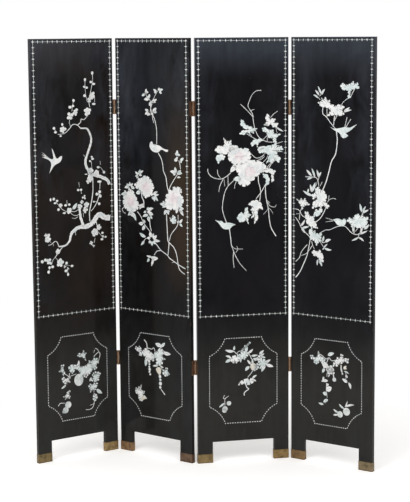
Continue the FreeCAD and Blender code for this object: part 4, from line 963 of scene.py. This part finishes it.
def line(mesh, run, start, end):
    """An engraved or sawn line, filled dark, along a run of points."""
    lay_plate(mesh, ribbon(run, start, end), INK, LINE_LIFT, LINE_THICKNESS, LINE_SLOPE)


def lay_stem(mesh, stem):
    """A stem, or a branch with its grain engraved along it."""
    start, end, points = stem
    run = smooth_run(points)
    if start <= BRANCH_LEAST:
        lay_plate(mesh, ribbon(run, start * STEM_SHARE, end * STEM_SHARE, KNOT_SHARE), WHITE)
        return
    lay_plate(mesh, ribbon(run, start * BRANCH_SHARE, end * BRANCH_SHARE, BRANCH_KNOT_SHARE), WHITE)
    sway = GRAIN_SWAY_SHARE * min(start, end)
    grain = [spot + Vector((0, sway * math.sin(index * GRAIN_STEP))) for index, spot in enumerate(run)]
    line(mesh, grain[2:-2], GRAIN_WIDTH, GRAIN_WIDTH)


def lay_leaf(mesh, leaf, kind, cut):
    """A pointed leaf, bent a little to one side, with a sawn edge and an engraved rib."""
    root, tip = Vector(leaf[:2]), Vector(leaf[2:4])
    run = tip - root
    bend = run.orthogonal() * cut.uniform(*LEAF_BEND_SHARES)
    left = []
    right = []
    for step in range(1, LEAF_STEPS):
        share = step / LEAF_STEPS
        half = leaf[4] * LEAF_SHARE / 2 * math.sin(math.pi * share ** LEAF_SKEW) ** LEAF_FULLNESS
        middle = root + run * share + bend * math.sin(math.pi * share)
        side = run.orthogonal().normalized() * half
        left.append(tuple(middle + side))
        right.append(tuple(middle - side))
    lay_plate(mesh, nicked([tuple(root)] + left + [tuple(tip)] + right[::-1], cut), kind)
    rib = [root + run * share + bend * math.sin(math.pi * share) for share in RIB_SHARES]
    line(mesh, rib, *RIB_WIDTHS)


def petal(middle, angle, inner, outer, width):
    """One rounded petal's outline, pointing away from a flower's middle."""
    way = Vector((math.cos(angle), math.sin(angle)))
    outline = []
    for x, y in circle(PETAL_STEPS):
        reach = (inner + outer) / 2 - (outer - inner) / 2 * x
        fullness = PETAL_ROOT_SHARE + (1 - PETAL_ROOT_SHARE) * reach / outer
        outline.append(tuple(middle + way * reach + way.orthogonal() * width / 2 * y * fullness))
    return outline


def lay_flower(mesh, flower, kind, cut):
    """A blossom of separate petals, no two quite alike, round a small eye."""
    across, up, radius, petals, turn = flower
    middle = Vector((across, up))
    width = radius * PETAL_WIDEST_SHARE * min(1.0, 2 * math.sin(math.pi / petals))
    for index in range(petals):
        angle = math.radians(turn) + 2 * math.pi * (index + cut.uniform(*PETAL_TURN_SHARES)) / petals
        reach = radius * cut.uniform(*PETAL_REACH_SHARES)
        petal_width = width * cut.uniform(*PETAL_WIDTH_SHARES)
        lay_plate(mesh, petal(middle, angle, radius * PETAL_START_SHARE, reach, petal_width), kind)
        way = Vector((math.cos(angle), math.sin(angle)))
        vein = [middle + way * radius * share for share in PETAL_VEIN_SHARES]
        line(mesh, vein, *PETAL_VEIN_WIDTHS)
    tip, waist = [radius * share for share in FLOWER_EYE_SHARES]
    lay_plate(mesh, star(middle, (tip, tip), waist, 5), GREEN, FLOWER_EYE_LIFT)


def lay_heart(mesh, head, cut):
    """A peony's heart: rings of round petals lapping inwards, each with a fine rosy rim."""
    across, up, radius = head
    middle = Vector((across, up))
    for petals, inner, outer, width, kind, lift, rim in HEART_RINGS:
        first = cut.uniform(0, math.pi)
        lift += INLAY_THICKNESS - HEART_SINK
        for index in range(petals):
            angle = first + 2 * math.pi * index / petals + cut.uniform(*PETAL_TURN_SHARES)
            reach = radius * outer * cut.uniform(*HEART_REACH_SHARES)
            edge = petal(middle, angle, radius * inner, reach + rim, radius * width + rim * 2)
            lay_plate(mesh, edge, ROSE, lift, RIM_THICKNESS, LINE_SLOPE)
            lay_plate(mesh, petal(middle, angle, radius * inner, reach, radius * width), kind, lift,
                      HEART_THICKNESS, HEART_SLOPE)


def saw(mesh, outline, cut):
    """Sawn gaps that run in from a plate's hollows, and veins out to its points."""
    middle = middle_of(outline)
    for here, before, after in corners(outline):
        inward = middle - here
        if inward.length < SAWN_LEAST:
            continue
        if bend_at(outline, before, after) < 0:
            reach = min(SAWN_SHARE * inward.length, SAWN_MOST) * cut.uniform(*SAWN_GROWTH_SHARES)
            way = inward.normalized()
            line(mesh, [here - way * SAWN_OVERRUN, here + way * reach], *SAWN_WIDTHS)
        elif before.angle(after) > VEIN_ANGLE:
            line(mesh, [here + inward * share for share in VEIN_SHARES], *VEIN_WIDTHS)


def lay_bird(mesh, outline, kind):
    """A bird in one plate, its feathers engraved out to the tips of its wings and tail."""
    outline = anticlockwise(outline)
    lay_plate(mesh, rounded(shrunk(outline, BIRD_TRIM)), kind)
    middle = middle_of(outline)
    for here, before, after in corners(outline):
        if before.angle(after) > FEATHER_ANGLE:
            line(mesh, [middle + (here - middle) * share for share in FEATHER_SHARES], *FEATHER_WIDTHS)


def lay_picture(name, number, node, shares, tones, notch_share, cut):
    """A whole picture, laid plate by plate, as one inlay on its board."""
    mesh = bmesh.new()
    for stem in shares.get("stems", ()):
        lay_stem(mesh, stem)
    for leaf in shares["leaves"]:
        lay_leaf(mesh, leaf, cut.choice(tones), cut)
    for flower in shares.get("flowers", ()):
        lay_flower(mesh, flower, WHITE, cut)
    for kind, key in ((WHITE, "buds"), (GREY, "rounds")):
        for across, up, wide, tall in shares.get(key, ()):
            lay_plate(mesh, [(across + wide * x, up + tall * y) for x, y in circle(ROUND_STEPS)], kind)
    heads = shares.get("peonies", ())
    for index, outline in enumerate(shares.get("plates", ())):
        is_peony = index < len(heads)
        depth_share = 1.0 if is_peony else notch_share
        shape, notches = lobed(outline if is_peony else drawn_out(outline), depth_share, cut)
        lay_plate(mesh, shape, WHITE if is_peony else cut.choice(tones))
        for spot, inward in notches:
            reach = cut.uniform(NOTCH_RUN_LEAST, PEONY_NOTCH_RUN_MOST if is_peony else NOTCH_RUN_MOST)
            line(mesh, [spot, spot + inward * reach * depth_share], NOTCH_WIDTHS[0] * depth_share,
                 NOTCH_WIDTHS[1])
        if not is_peony:
            saw(mesh, outline, cut)
    for outline in shares.get("birds", ()):
        lay_bird(mesh, outline, tones[-1])
    for head in heads:
        lay_heart(mesh, head, cut)
    for spot in shares.get("eyes", ()):
        lay_plate(mesh, star(spot, (EYE_REACH, EYE_REACH), EYE_WAIST, 6), INK, LINE_LIFT, EYE_THICKNESS,
                  EYE_SLOPE)
    for flower in shares.get("amber_flowers", ()):
        lay_flower(mesh, flower, AMBER, cut)
    for outline in shares.get("amber_plates", ()):
        lay_plate(mesh, rounded(outline), AMBER, AMBER_LIFT)
    seat(mesh, "%s_%d" % (name, number), number, SHELLS, "%s_%d" % (node, number))


# Each board's picture, the shells of its leaves and plates, and how deep the notches go.
PICTURES = ((PLUM_SHARES, (GREEN, WHITE, WHITE), 1.0), (PEONY_SHARES, (GREEN, WHITE, WHITE), 1.0),
            (ROSE_SHARES, (WHITE, GREEN, GREEN), 0.45), (MAGNOLIA_SHARES, (WHITE, GREEN, GREEN), 0.8))
for number, (shares, tones, notch_share) in zip(BOARDS, PICTURES):
    lay_picture("flowers_and_birds", number, "flower_inlay", shares, tones, notch_share,
                random.Random(PICTURE_SEED + number))


# Inside each cartouche is a spray of fruit and leaves, cut from the same shell and laid in
# the same way on a smaller scale, with a few plates of a warmer, amber shell.
MELON_SHARES = {
    "stems": [
        (5, 4, [(286, 242), (278, 214), (262, 204), (240, 205)]),
        (5, 5, [(134, 250), (112, 252), (100, 241)]),
        (5, 4, [(285, 436), (296, 447), (313, 455), (318, 442), (312, 424), (308, 404)]),
        (4, 4, [(293, 475), (305, 468), (313, 455)]), (4, 3, [(286, 456), (290, 468)]),
        (5, 4, [(137, 380), (150, 371), (160, 366), (194, 372)]), (5, 5, [(161, 380), (156, 360)]),
        (3, 3, [(145, 342), (146, 332)]), (4, 3, [(150, 296), (160, 304)]),
        (3, 3, [(283, 276), (284, 290)]), (4, 3, [(285, 226), (262, 222)]),
    ],
    "leaves": [
        (297, 290, 326, 267, 18), (292, 372, 297, 360, 9), (142, 330, 118, 316, 10),
        (209, 408, 209, 431, 11), (272, 346, 262, 330, 12),
    ],
    "rounds": [
        (151, 240, 15.5, 15.5), (138, 218, 14, 14), (128, 212, 7, 7), (207, 344, 23, 27),
    ],
    "plates": [
        [(156, 406), (170, 415), (188, 412), (191, 398), (183, 385), (175, 377), (165, 387)],
        [(189, 410), (204, 416), (213, 403), (238, 403), (252, 410), (262, 418), (272, 410), (281, 394),
         (272, 376), (262, 364), (246, 362), (236, 356), (220, 368), (206, 384), (196, 395)],
        [(259, 424), (274, 421), (286, 430), (303, 428), (306, 411), (298, 397), (301, 387), (289, 379),
         (277, 390), (268, 408)],
        [(233, 355), (246, 350), (255, 360), (243, 368)],
        [(203, 452), (212, 463), (225, 460), (233, 473), (237, 461), (248, 460), (241, 445), (246, 424),
         (228, 443), (214, 446)],
        [(127, 279), (140, 286), (146, 296), (164, 301), (156, 288), (162, 276), (157, 268), (147, 271),
         (136, 265), (135, 273)],
        [(122, 360), (131, 367), (145, 356), (157, 367), (164, 358), (157, 350), (163, 338), (150, 342),
         (138, 334), (128, 345)],
        [(276, 356), (284, 366), (294, 356), (306, 367), (319, 357), (312, 344), (309, 330), (290, 325),
         (271, 332), (280, 344)],
        [(284, 271), (296, 266), (300, 252), (290, 238), (278, 246), (280, 262)],
        [(256, 309), (266, 318), (277, 313), (284, 319), (303, 316), (297, 301), (290, 288), (277, 290),
         (265, 279), (261, 294)],
        [(107, 393), (118, 405), (119, 420), (134, 420), (130, 405), (138, 384), (129, 375), (121, 390)],
    ],
}
GRAPE_SHARES = {
    "stems": [
        (7, 8, [(160, 474), (158, 500), (144, 516)]),
        (5, 5, [(160, 482), (186, 479), (198, 486), (206, 468)]),
        (6, 8, [(236, 306), (246, 296), (258, 284)]), (4, 3, [(238, 400), (250, 390)]),
    ],
    "leaves": [
        (240, 500, 207, 506, 22), (238, 496, 261, 516, 16), (252, 470, 293, 468, 19),
        (150, 430, 150, 398, 18), (222, 410, 190, 404, 10), (232, 410, 252, 404, 9),
        (196, 440, 190, 424, 10),
    ],
    "buds": [
        (170, 423, 6, 7), (172, 410, 5, 5), (171, 398, 5, 5), (173, 387, 7, 6), (172, 376, 5, 5),
        (176, 365, 5, 4), (231, 362, 7, 8), (233, 348, 6, 5), (233, 331, 8, 9), (232, 314, 6, 6),
    ],
    "plates": [
        [(114, 443), (118, 456), (134, 466), (150, 478), (168, 470), (184, 462), (198, 446), (196, 426),
         (176, 430), (158, 424), (148, 434), (150, 443)],
        [(186, 452), (210, 470), (226, 486), (237, 497), (250, 484), (262, 474), (250, 462), (248, 452),
         (263, 443), (245, 436), (248, 424), (232, 412), (212, 416), (208, 440)],
        [(90, 279), (94, 295), (102, 292), (109, 302), (113, 292), (124, 312), (124, 294), (129, 287),
         (142, 284), (139, 274), (133, 269), (144, 263), (154, 254), (139, 247), (126, 238), (113, 240),
         (107, 252), (105, 263), (94, 269)],
        [(92, 470), (97, 481), (108, 477), (114, 484), (124, 476), (126, 465), (113, 459), (104, 462)],
        [(247, 378), (252, 395), (262, 396), (263, 405), (275, 404), (276, 391), (285, 380), (274, 373),
         (261, 367)],
    ],
    "amber_plates": [
        [(130, 262), (143, 262), (153, 254), (139, 248), (126, 240), (118, 247)],
        [(207, 395), (222, 404), (237, 401), (238, 378), (227, 367), (214, 380)],
    ],
}
TRUMPET_SHARES = {
    "stems": [
        (8, 7, [(212, 344), (218, 326), (226, 318), (208, 304), (206, 290)]),
        (5, 6, [(222, 478), (232, 467), (239, 452), (246, 445)]),
        (5, 5, [(248, 404), (238, 388), (222, 370)]), (4, 4, [(120, 250), (121, 280), (137, 292)]),
        (5, 4, [(160, 489), (173, 477), (186, 468)]), (4, 4, [(173, 476), (184, 487), (202, 486)]),
        (4, 4, [(121, 280), (113, 284), (119, 297)]),
    ],
    "leaves": [
        (162, 488, 122, 496, 14), (161, 492, 164, 512, 10), (148, 461, 124, 470, 11),
        (148, 452, 123, 441, 15), (192, 457, 191, 437, 11), (214, 480, 221, 506, 14),
        (224, 476, 246, 494, 12), (238, 463, 268, 466, 11), (246, 452, 270, 443, 12),
        (274, 468, 294, 486, 13), (277, 461, 297, 471, 9), (283, 458, 302, 452, 9),
        (303, 430, 325, 443, 12), (304, 422, 338, 411, 16), (301, 419, 284, 391, 16),
        (283, 418, 276, 404, 9), (236, 426, 221, 447, 11), (243, 427, 243, 448, 11),
        (230, 418, 211, 399, 16), (250, 408, 255, 395, 9), (242, 362, 263, 378, 11),
        (244, 358, 260, 350, 9), (118, 262, 94, 244, 10), (162, 446, 158, 434, 8), (174, 446, 172, 433, 8),
        (206, 458, 208, 447, 8), (254, 440, 262, 452, 7), (262, 430, 272, 420, 9),
    ],
    "rounds": [
        (138, 260, 10, 10), (120, 236, 12, 12), (118, 229, 10, 10),
    ],
    "plates": [
        [(194, 491), (203, 499), (210, 511), (220, 516), (231, 526), (236, 521), (226, 513), (216, 505),
         (206, 494), (199, 486)],
        [(183, 470), (195, 482), (208, 485), (223, 478), (223, 466), (210, 455), (196, 454), (186, 460)],
        [(142, 461), (160, 467), (182, 471), (189, 458), (179, 443), (156, 439), (149, 446)],
        [(262, 452), (272, 463), (287, 460), (284, 448), (270, 444)],
        [(270, 439), (280, 447), (296, 446), (307, 436), (309, 424), (298, 414), (284, 413), (274, 422)],
        [(255, 425), (268, 425), (271, 410), (262, 402), (252, 406)],
        [(180, 338), (192, 354), (212, 362), (246, 362), (246, 346), (226, 337), (204, 342)],
    ],
    "amber_flowers": [
        (247, 416, 15, 6, 10),
    ],
}
GOURD_SHARES = {
    "stems": [
        (4, 4, [(180, 358), (180, 320), (184, 294)]), (9, 9, [(214, 410), (216, 382)]),
        (5, 5, [(144, 480), (160, 474), (177, 462), (192, 469), (206, 458), (224, 462)]),
        (5, 5, [(190, 466), (182, 450), (175, 438)]), (4, 4, [(183, 402), (182, 386)]),
        (4, 4, [(274, 420), (278, 402), (276, 386)]), (3, 3, [(168, 274), (176, 268)]),
    ],
    "leaves": [
        (186, 479, 218, 492, 18), (250, 440, 259, 406, 8), (284, 372, 258, 386, 16),
        (170, 420, 159, 400, 15), (212, 432, 220, 444, 9), (188, 368, 154, 362, 14),
        (178, 326, 206, 342, 28), (268, 256, 243, 274, 10), (276, 266, 318, 279, 10),
        (290, 374, 300, 346, 13), (264, 432, 278, 444, 12), (184, 308, 162, 314, 20),
        (188, 286, 164, 271, 16), (166, 262, 140, 265, 11), (238, 236, 215, 248, 10),
        (238, 226, 214, 222, 10), (266, 420, 291, 411, 7), (274, 404, 286, 394, 12),
        (166, 384, 160, 366, 10), (272, 264, 284, 292, 7), (180, 346, 192, 354, 14),
        (188, 384, 198, 398, 6),
    ],
    "flowers": [
        (173, 434, 15, 5, 20), (197, 418, 20, 6, 10),
    ],
    "rounds": [
        (280, 245, 17, 17), (248, 229, 14, 14), (219, 377, 9, 9), (259, 407, 4, 4),
    ],
    "plates": [
        [(99, 469), (104, 454), (115, 452), (117, 441), (130, 435), (141, 443), (146, 452), (159, 439),
         (170, 445), (172, 458), (159, 467), (148, 473), (139, 493), (135, 476), (128, 465), (117, 465),
         (111, 471)],
        [(178, 416), (188, 428), (200, 432), (214, 424), (219, 404), (204, 400), (190, 405)],
        [(214, 448), (224, 462), (234, 476), (246, 474), (250, 491), (262, 488), (262, 474), (274, 476),
         (288, 475), (286, 456), (270, 462), (256, 452), (244, 448), (232, 436)],
    ],
    "amber_plates": [
        [(262, 432), (268, 440), (279, 446), (275, 437), (281, 431), (269, 426)],
        [(249, 446), (254, 446), (257, 434), (252, 432)],
    ],
}
# Each cartouche's spray, and the shells of its leaves and plates.
SPRAYS = ((MELON_SHARES, (WHITE, GREEN, GREEN)), (GRAPE_SHARES, (WHITE, WHITE, GREEN)),
          (TRUMPET_SHARES, (GREEN, WHITE)), (GOURD_SHARES, (GREEN, WHITE, WHITE)))
SPRAY_NOTCH_SHARE = 1.5
SPRAY_SEED = 160
for number, (shares, tones) in zip(BOARDS, SPRAYS):
    lay_picture("fruit_spray", number, "fruit_inlay", shares, tones, SPRAY_NOTCH_SHARE,
                random.Random(SPRAY_SEED + number))


# The shoes are thin brass sheet folded round the foot of each leg. They have dulled to a brown bronze, with
# a painted shadow along each shoe's upper edge, and darker round the floor line.
SHOE_HEIGHT = 40.0
# Each shoe's tone is its own tarnish with painted light and shade: paler on a board turned towards the
# light, darker on one turned away.
SHOE_TONES_LIT_AND_SHADED = {"1_left": "#7a6a4c", "1_right": "#968059", "2_left": "#8a6e52", "2_right": "#6b5747",
              "3_left": "#826f4d", "3_right": "#86704c", "4_left": "#7d6649", "4_right": "#7a6c55"}
BLOTCH = 18.0
BLOTCH_RELIEF = 0.3
SCRATCH_LENGTH = 10.0
SCRATCH_SLENDERNESS = 14.0
DARK_SHARE = 0.72
PALE_SHARE = 1.12
# A shoe is drawn darker at the floor line and has a painted shadow along its upper edge: how dark, and how
# far each reaches, in millimetres.
SHADOW_AND_FLOOR_SHARE = 0.4
FLOOR_LINE_RISE = 5.0
SHADOW_LINE_FALL = 3.0


def shaded(code, share):
    """A hex colour with each of its channels taken times a share."""
    return "#" + "".join("%02x" % int(int(code[place:place + 2], 16) * share) for place in (1, 3, 5))


def dulled_brass(name, code, shadow_line_top=None):
    """Sheet brass gone dull: brown, blotched by handling, finely scratched, and on a shoe darker by the
    floor and with a painted shadow along its upper edge."""
    material, tree, place = start_material(name)
    blotch = add(tree, "TexNoise", {"Vector": place, "Scale": 1 / (BLOTCH * MM), "Detail": 5.0,
                                    "Roughness": 0.6})
    tone = add(tree, "ValToRGB", {"Fac": blotch}, ((0.3, shaded(code, DARK_SHARE)), (0.5, code),
                                                   (0.72, shaded(code, PALE_SHARE))))
    if shadow_line_top:
        # Darker at the floor line, and a painted shadow along the shoe's upper edge.
        height = add(tree, "SeparateXYZ", {"Vector": place}).outputs["Z"]
        low = add(tree, "MapRange", {"Value": height, "From Min": 0.0, "From Max": FLOOR_LINE_RISE * MM,
                                     "To Min": 0.75, "To Max": 0.0})
        high = add(tree, "MapRange", {"Value": height, "From Min": (shadow_line_top - SHADOW_LINE_FALL) * MM,
                                      "From Max": shadow_line_top * MM, "To Min": 0.0, "To Max": 0.6})
        edge = add(tree, "Math", {0: low, 1: high}, operation="ADD")
        shadow_and_floor_tone = colour(shaded(code, SHADOW_AND_FLOOR_SHARE))
        tone = add(tree, "Mix", {"Factor": edge, FIRST_TONE: tone, SECOND_TONE: shadow_and_floor_tone}, data_type="RGBA")
    drawn = add(tree, "Mapping", {"Vector": place, "Scale": (1, 1, SCRATCH_SLENDERNESS)})
    scratch = add(tree, "TexNoise", {"Vector": drawn, "Scale": 1 / (SCRATCH_LENGTH * MM), "Detail": 4.0})
    rough = add(tree, "MapRange", {"Value": scratch, "From Min": 0.35, "From Max": 0.7, "To Min": 0.42,
                                   "To Max": 0.62})
    bump = add(tree, "Bump", {"Strength": 0.15, "Distance": BLOTCH_RELIEF * MM, "Height": blotch})
    shader = add(tree, "BsdfPrincipled", {"Base Color": tone, "Metallic": 1.0, "Roughness": rough,
                                          "Normal": bump})
    add(tree, "OutputMaterial", {"Surface": shader})
    return material


for leg, code in SHOE_TONES_LIT_AND_SHADED.items():
    dress(frame["nodes"]["shoe_" + leg], dulled_brass("dulled_brass_shoe_" + leg, code, SHOE_HEIGHT))


# Each pair of boards hangs on two butt hinges of plate brass, let into the edges, with a
# brass pin through three knuckles. They have gone a redder brown than the shoes.
hinge_brass = dulled_brass("dulled_brass_hinge", "#91765f")
pin_brass = dulled_brass("dulled_brass_pin", "#9d8472")
for name, node in frame["nodes"].items():
    if name.startswith("hinge_leaves"):
        dress(node, hinge_brass)
    elif name.startswith("hinge_pins"):
        dress(node, pin_brass)


# Two countersunk brass screws hold each hinge leaf to its board's edge, their heads flush
# with the leaf and slotted for a flat blade.
HINGE_MIDDLES = (420.0, 1533.0)
HINGED_SIDES = {1: [("right", "front")], 2: [("left", "front"), ("right", "back")],
                3: [("left", "back"), ("right", "front")], 4: [("left", "front")]}
SCREW_INSET = 9.0
SCREW_HALF_SPREAD = 19.0
SCREW_HEAD = 3.5
SCREW_NECK = 1.75
SCREW_LENGTH = 16.0
SCREW_STEPS = 24
HEAD_DEPTH = 2.0
HEAD_BEVEL = 0.15
HEAD_BEVEL_DEPTH = 0.12
SLOT_HALF_LENGTH = 3.1
SLOT_WIDTH = 0.9
SLOT_DEPTH = 0.7
LEVEL_SHARE = 0.01
WELD_REACH = 0.01
SCREW_SEED = 200


def lay_screw(mesh, side, face, height, turn):
    """One slotted screw, its axis across the board, from the bottom of its slot to its tip."""
    edge, inward = (BOARD_WIDTH, -1) if side == "right" else (0.0, 1)
    depth = SCREW_INSET if face == "front" else BOARD_THICKNESS - SCREW_INSET
    spin = Matrix.Rotation(turn, 2)
    around = circle(SCREW_STEPS)
    slot = [(SLOT_HALF_LENGTH * x, SLOT_WIDTH / 2 * ((y > LEVEL_SHARE) - (y < -LEVEL_SHARE)))
            for x, y in around]
    rings = []
    for reach, radius in ((SLOT_DEPTH, 0.0), (SLOT_DEPTH, None), (0.0, None), (0.0, SCREW_HEAD - HEAD_BEVEL),
                          (HEAD_BEVEL_DEPTH, SCREW_HEAD), (HEAD_DEPTH, SCREW_NECK), (SCREW_LENGTH, 0.0)):
        ring = slot if radius is None else [(radius * x, radius * y) for x, y in around]
        ring = [spin @ Vector(point) for point in ring]
        rings.append([mesh.verts.new(((edge + inward * reach) * MM, (depth + y) * MM, (height + z) * MM))
                      for y, z in ring])
    skin(mesh, rings)


for number in BOARDS:
    mesh = bmesh.new()
    cut = random.Random(SCREW_SEED + number)
    for side, face in HINGED_SIDES[number]:
        for middle in HINGE_MIDDLES:
            for offset in (-SCREW_HALF_SPREAD, SCREW_HALF_SPREAD):
                lay_screw(mesh, side, face, middle + offset, cut.uniform(0, math.pi))
    bmesh.ops.remove_doubles(mesh, verts=mesh.verts, dist=WELD_REACH * MM)
    bmesh.ops.recalc_face_normals(mesh, faces=mesh.faces)
    seat(mesh, "slotted_screws_%d" % number, number, [pin_brass], "hinge_screws_%d" % number)


# The floor is a plain white studio sweep. It is a little brighter to the camera than to
# the object, and evenly white further off, so it reads as white and holds the shadow.
FLOOR_REACH = 60.0
SHADOW_REACH = (0.8, 1.5)
FLOOR_GLOW = 0.24
PAPER_MOTTLE = 400.0


def seen_share(tree):
    """One for a ray that shows the surroundings: the camera's own, or one off gloss or
    through glass."""
    paths = add(tree, "LightPath")
    seen = add(tree, "Math", {0: paths.outputs["Is Camera Ray"], 1: paths.outputs["Is Glossy Ray"]},
               operation="MAXIMUM")
    return add(tree, "Math", {0: seen, 1: paths.outputs["Is Transmission Ray"]}, operation="MAXIMUM")


def white_paper():
    """Matt white paper, lit so that it reads as white where it is seen."""
    material, tree, place = start_material("matt_white_paper")
    seen = seen_share(tree)
    distance = add(tree, "VectorMath", {0: place}, operation="LENGTH")
    near_edge, far_edge = SHADOW_REACH
    far = add(tree, "MapRange", {"Value": distance, "From Min": near_edge, "From Max": far_edge},
              interpolation_type="SMOOTHSTEP")
    grain = add(tree, "TexNoise", {"Vector": place, "Scale": 1 / (PAPER_MOTTLE * MM), "Detail": 2.0})
    paper = add(tree, "ValToRGB", {"Fac": grain}, ((0.3, "#dcdcdc"), (0.7, "#e2e2e2")))
    tone = add(tree, "Mix", {"Factor": seen, FIRST_TONE: paper, SECOND_TONE: colour("#ffffff")},
               data_type="RGBA")
    matt = add(tree, "BsdfDiffuse", {"Color": tone})
    glow = add(tree, "Emission", {"Color": colour("#fff8f1"), "Strength": FLOOR_GLOW})
    white = add(tree, "Emission", {"Color": colour("#ffffff"), "Strength": 1.0})
    near = add(tree, "AddShader", {0: matt, 1: glow})
    shown = add(tree, "MixShader", {"Fac": far, 1: near, 2: white})
    add(tree, "OutputMaterial", {"Surface": add(tree, "MixShader", {"Fac": seen, 1: matt, 2: shown})})
    return material


sweep = bpy.data.meshes.new("studio_floor")
sweep.from_pydata([(x * FLOOR_REACH, y * FLOOR_REACH, 0) for x, y in ((-1, -1), (1, -1), (1, 1), (-1, 1))],
                  [], [(0, 1, 2, 3)])
sweep.materials.append(white_paper())
put("studio_floor", sweep)


# The room's light is even and white, and two large soft lamps stand over the screen, the
# stronger one to the left of the camera.
ROOM_STRENGTH = 0.72
LAMP_WIDTH = 2.4
LAMP_AIM = Vector((0, 0, 0.9))
LAMPS = {"key_lamp": (Vector((-2.2, -4.0, 4.1)), 108.0), "fill_lamp": (Vector((2.2, -4.0, 4.0)), 62.0)}
world = bpy.data.worlds.new("studio")
bpy.context.scene.world = world
world.use_nodes = True
room = world.node_tree
room.nodes.clear()
strength = add(room, "MapRange", {"Value": seen_share(room), "To Min": ROOM_STRENGTH, "To Max": 1.0})
backing = add(room, "Background", {"Color": colour("#ffffff"), "Strength": strength})
add(room, "OutputWorld", {"Surface": backing})
for name, (place, watts) in LAMPS.items():
    light = bpy.data.lights.new(name, "AREA")
    light.shape = "SQUARE"
    light.size = LAMP_WIDTH
    light.energy = watts
    lamp = put(name, light)
    lamp.location = place
    lamp.rotation_euler = (LAMP_AIM - place).to_track_quat("-Z", "Y").to_euler()


# The camera stands well back from the screen and a little to the right, at about the height
# of its top, and looks a little down on it.
FOCAL_PIXELS = 1572.6
IMAGE_LONG_SIDE = 502
SENSOR = 36.0
CAMERA_PLACE = Vector((0.3789, -6.6778, 1.8592))
CAMERA_PITCH = math.radians(7.986)
CAMERA_YAW = math.radians(3.189)
CAMERA_ROLL = math.radians(-0.439)
view = bpy.data.cameras.new("camera")
view.sensor_fit = "AUTO"
view.sensor_width = SENSOR
view.lens = FOCAL_PIXELS / IMAGE_LONG_SIDE * SENSOR
camera = put("camera", view)
tilt = Matrix.Rotation(math.pi / 2 - CAMERA_PITCH, 4, "X") @ Matrix.Rotation(CAMERA_ROLL, 4, "Z")
camera.matrix_world = Matrix.Translation(CAMERA_PLACE) @ Matrix.Rotation(CAMERA_YAW, 4, "Z") @ tilt
bpy.context.scene.camera = camera
bpy.context.scene.view_settings.view_transform = "Standard"
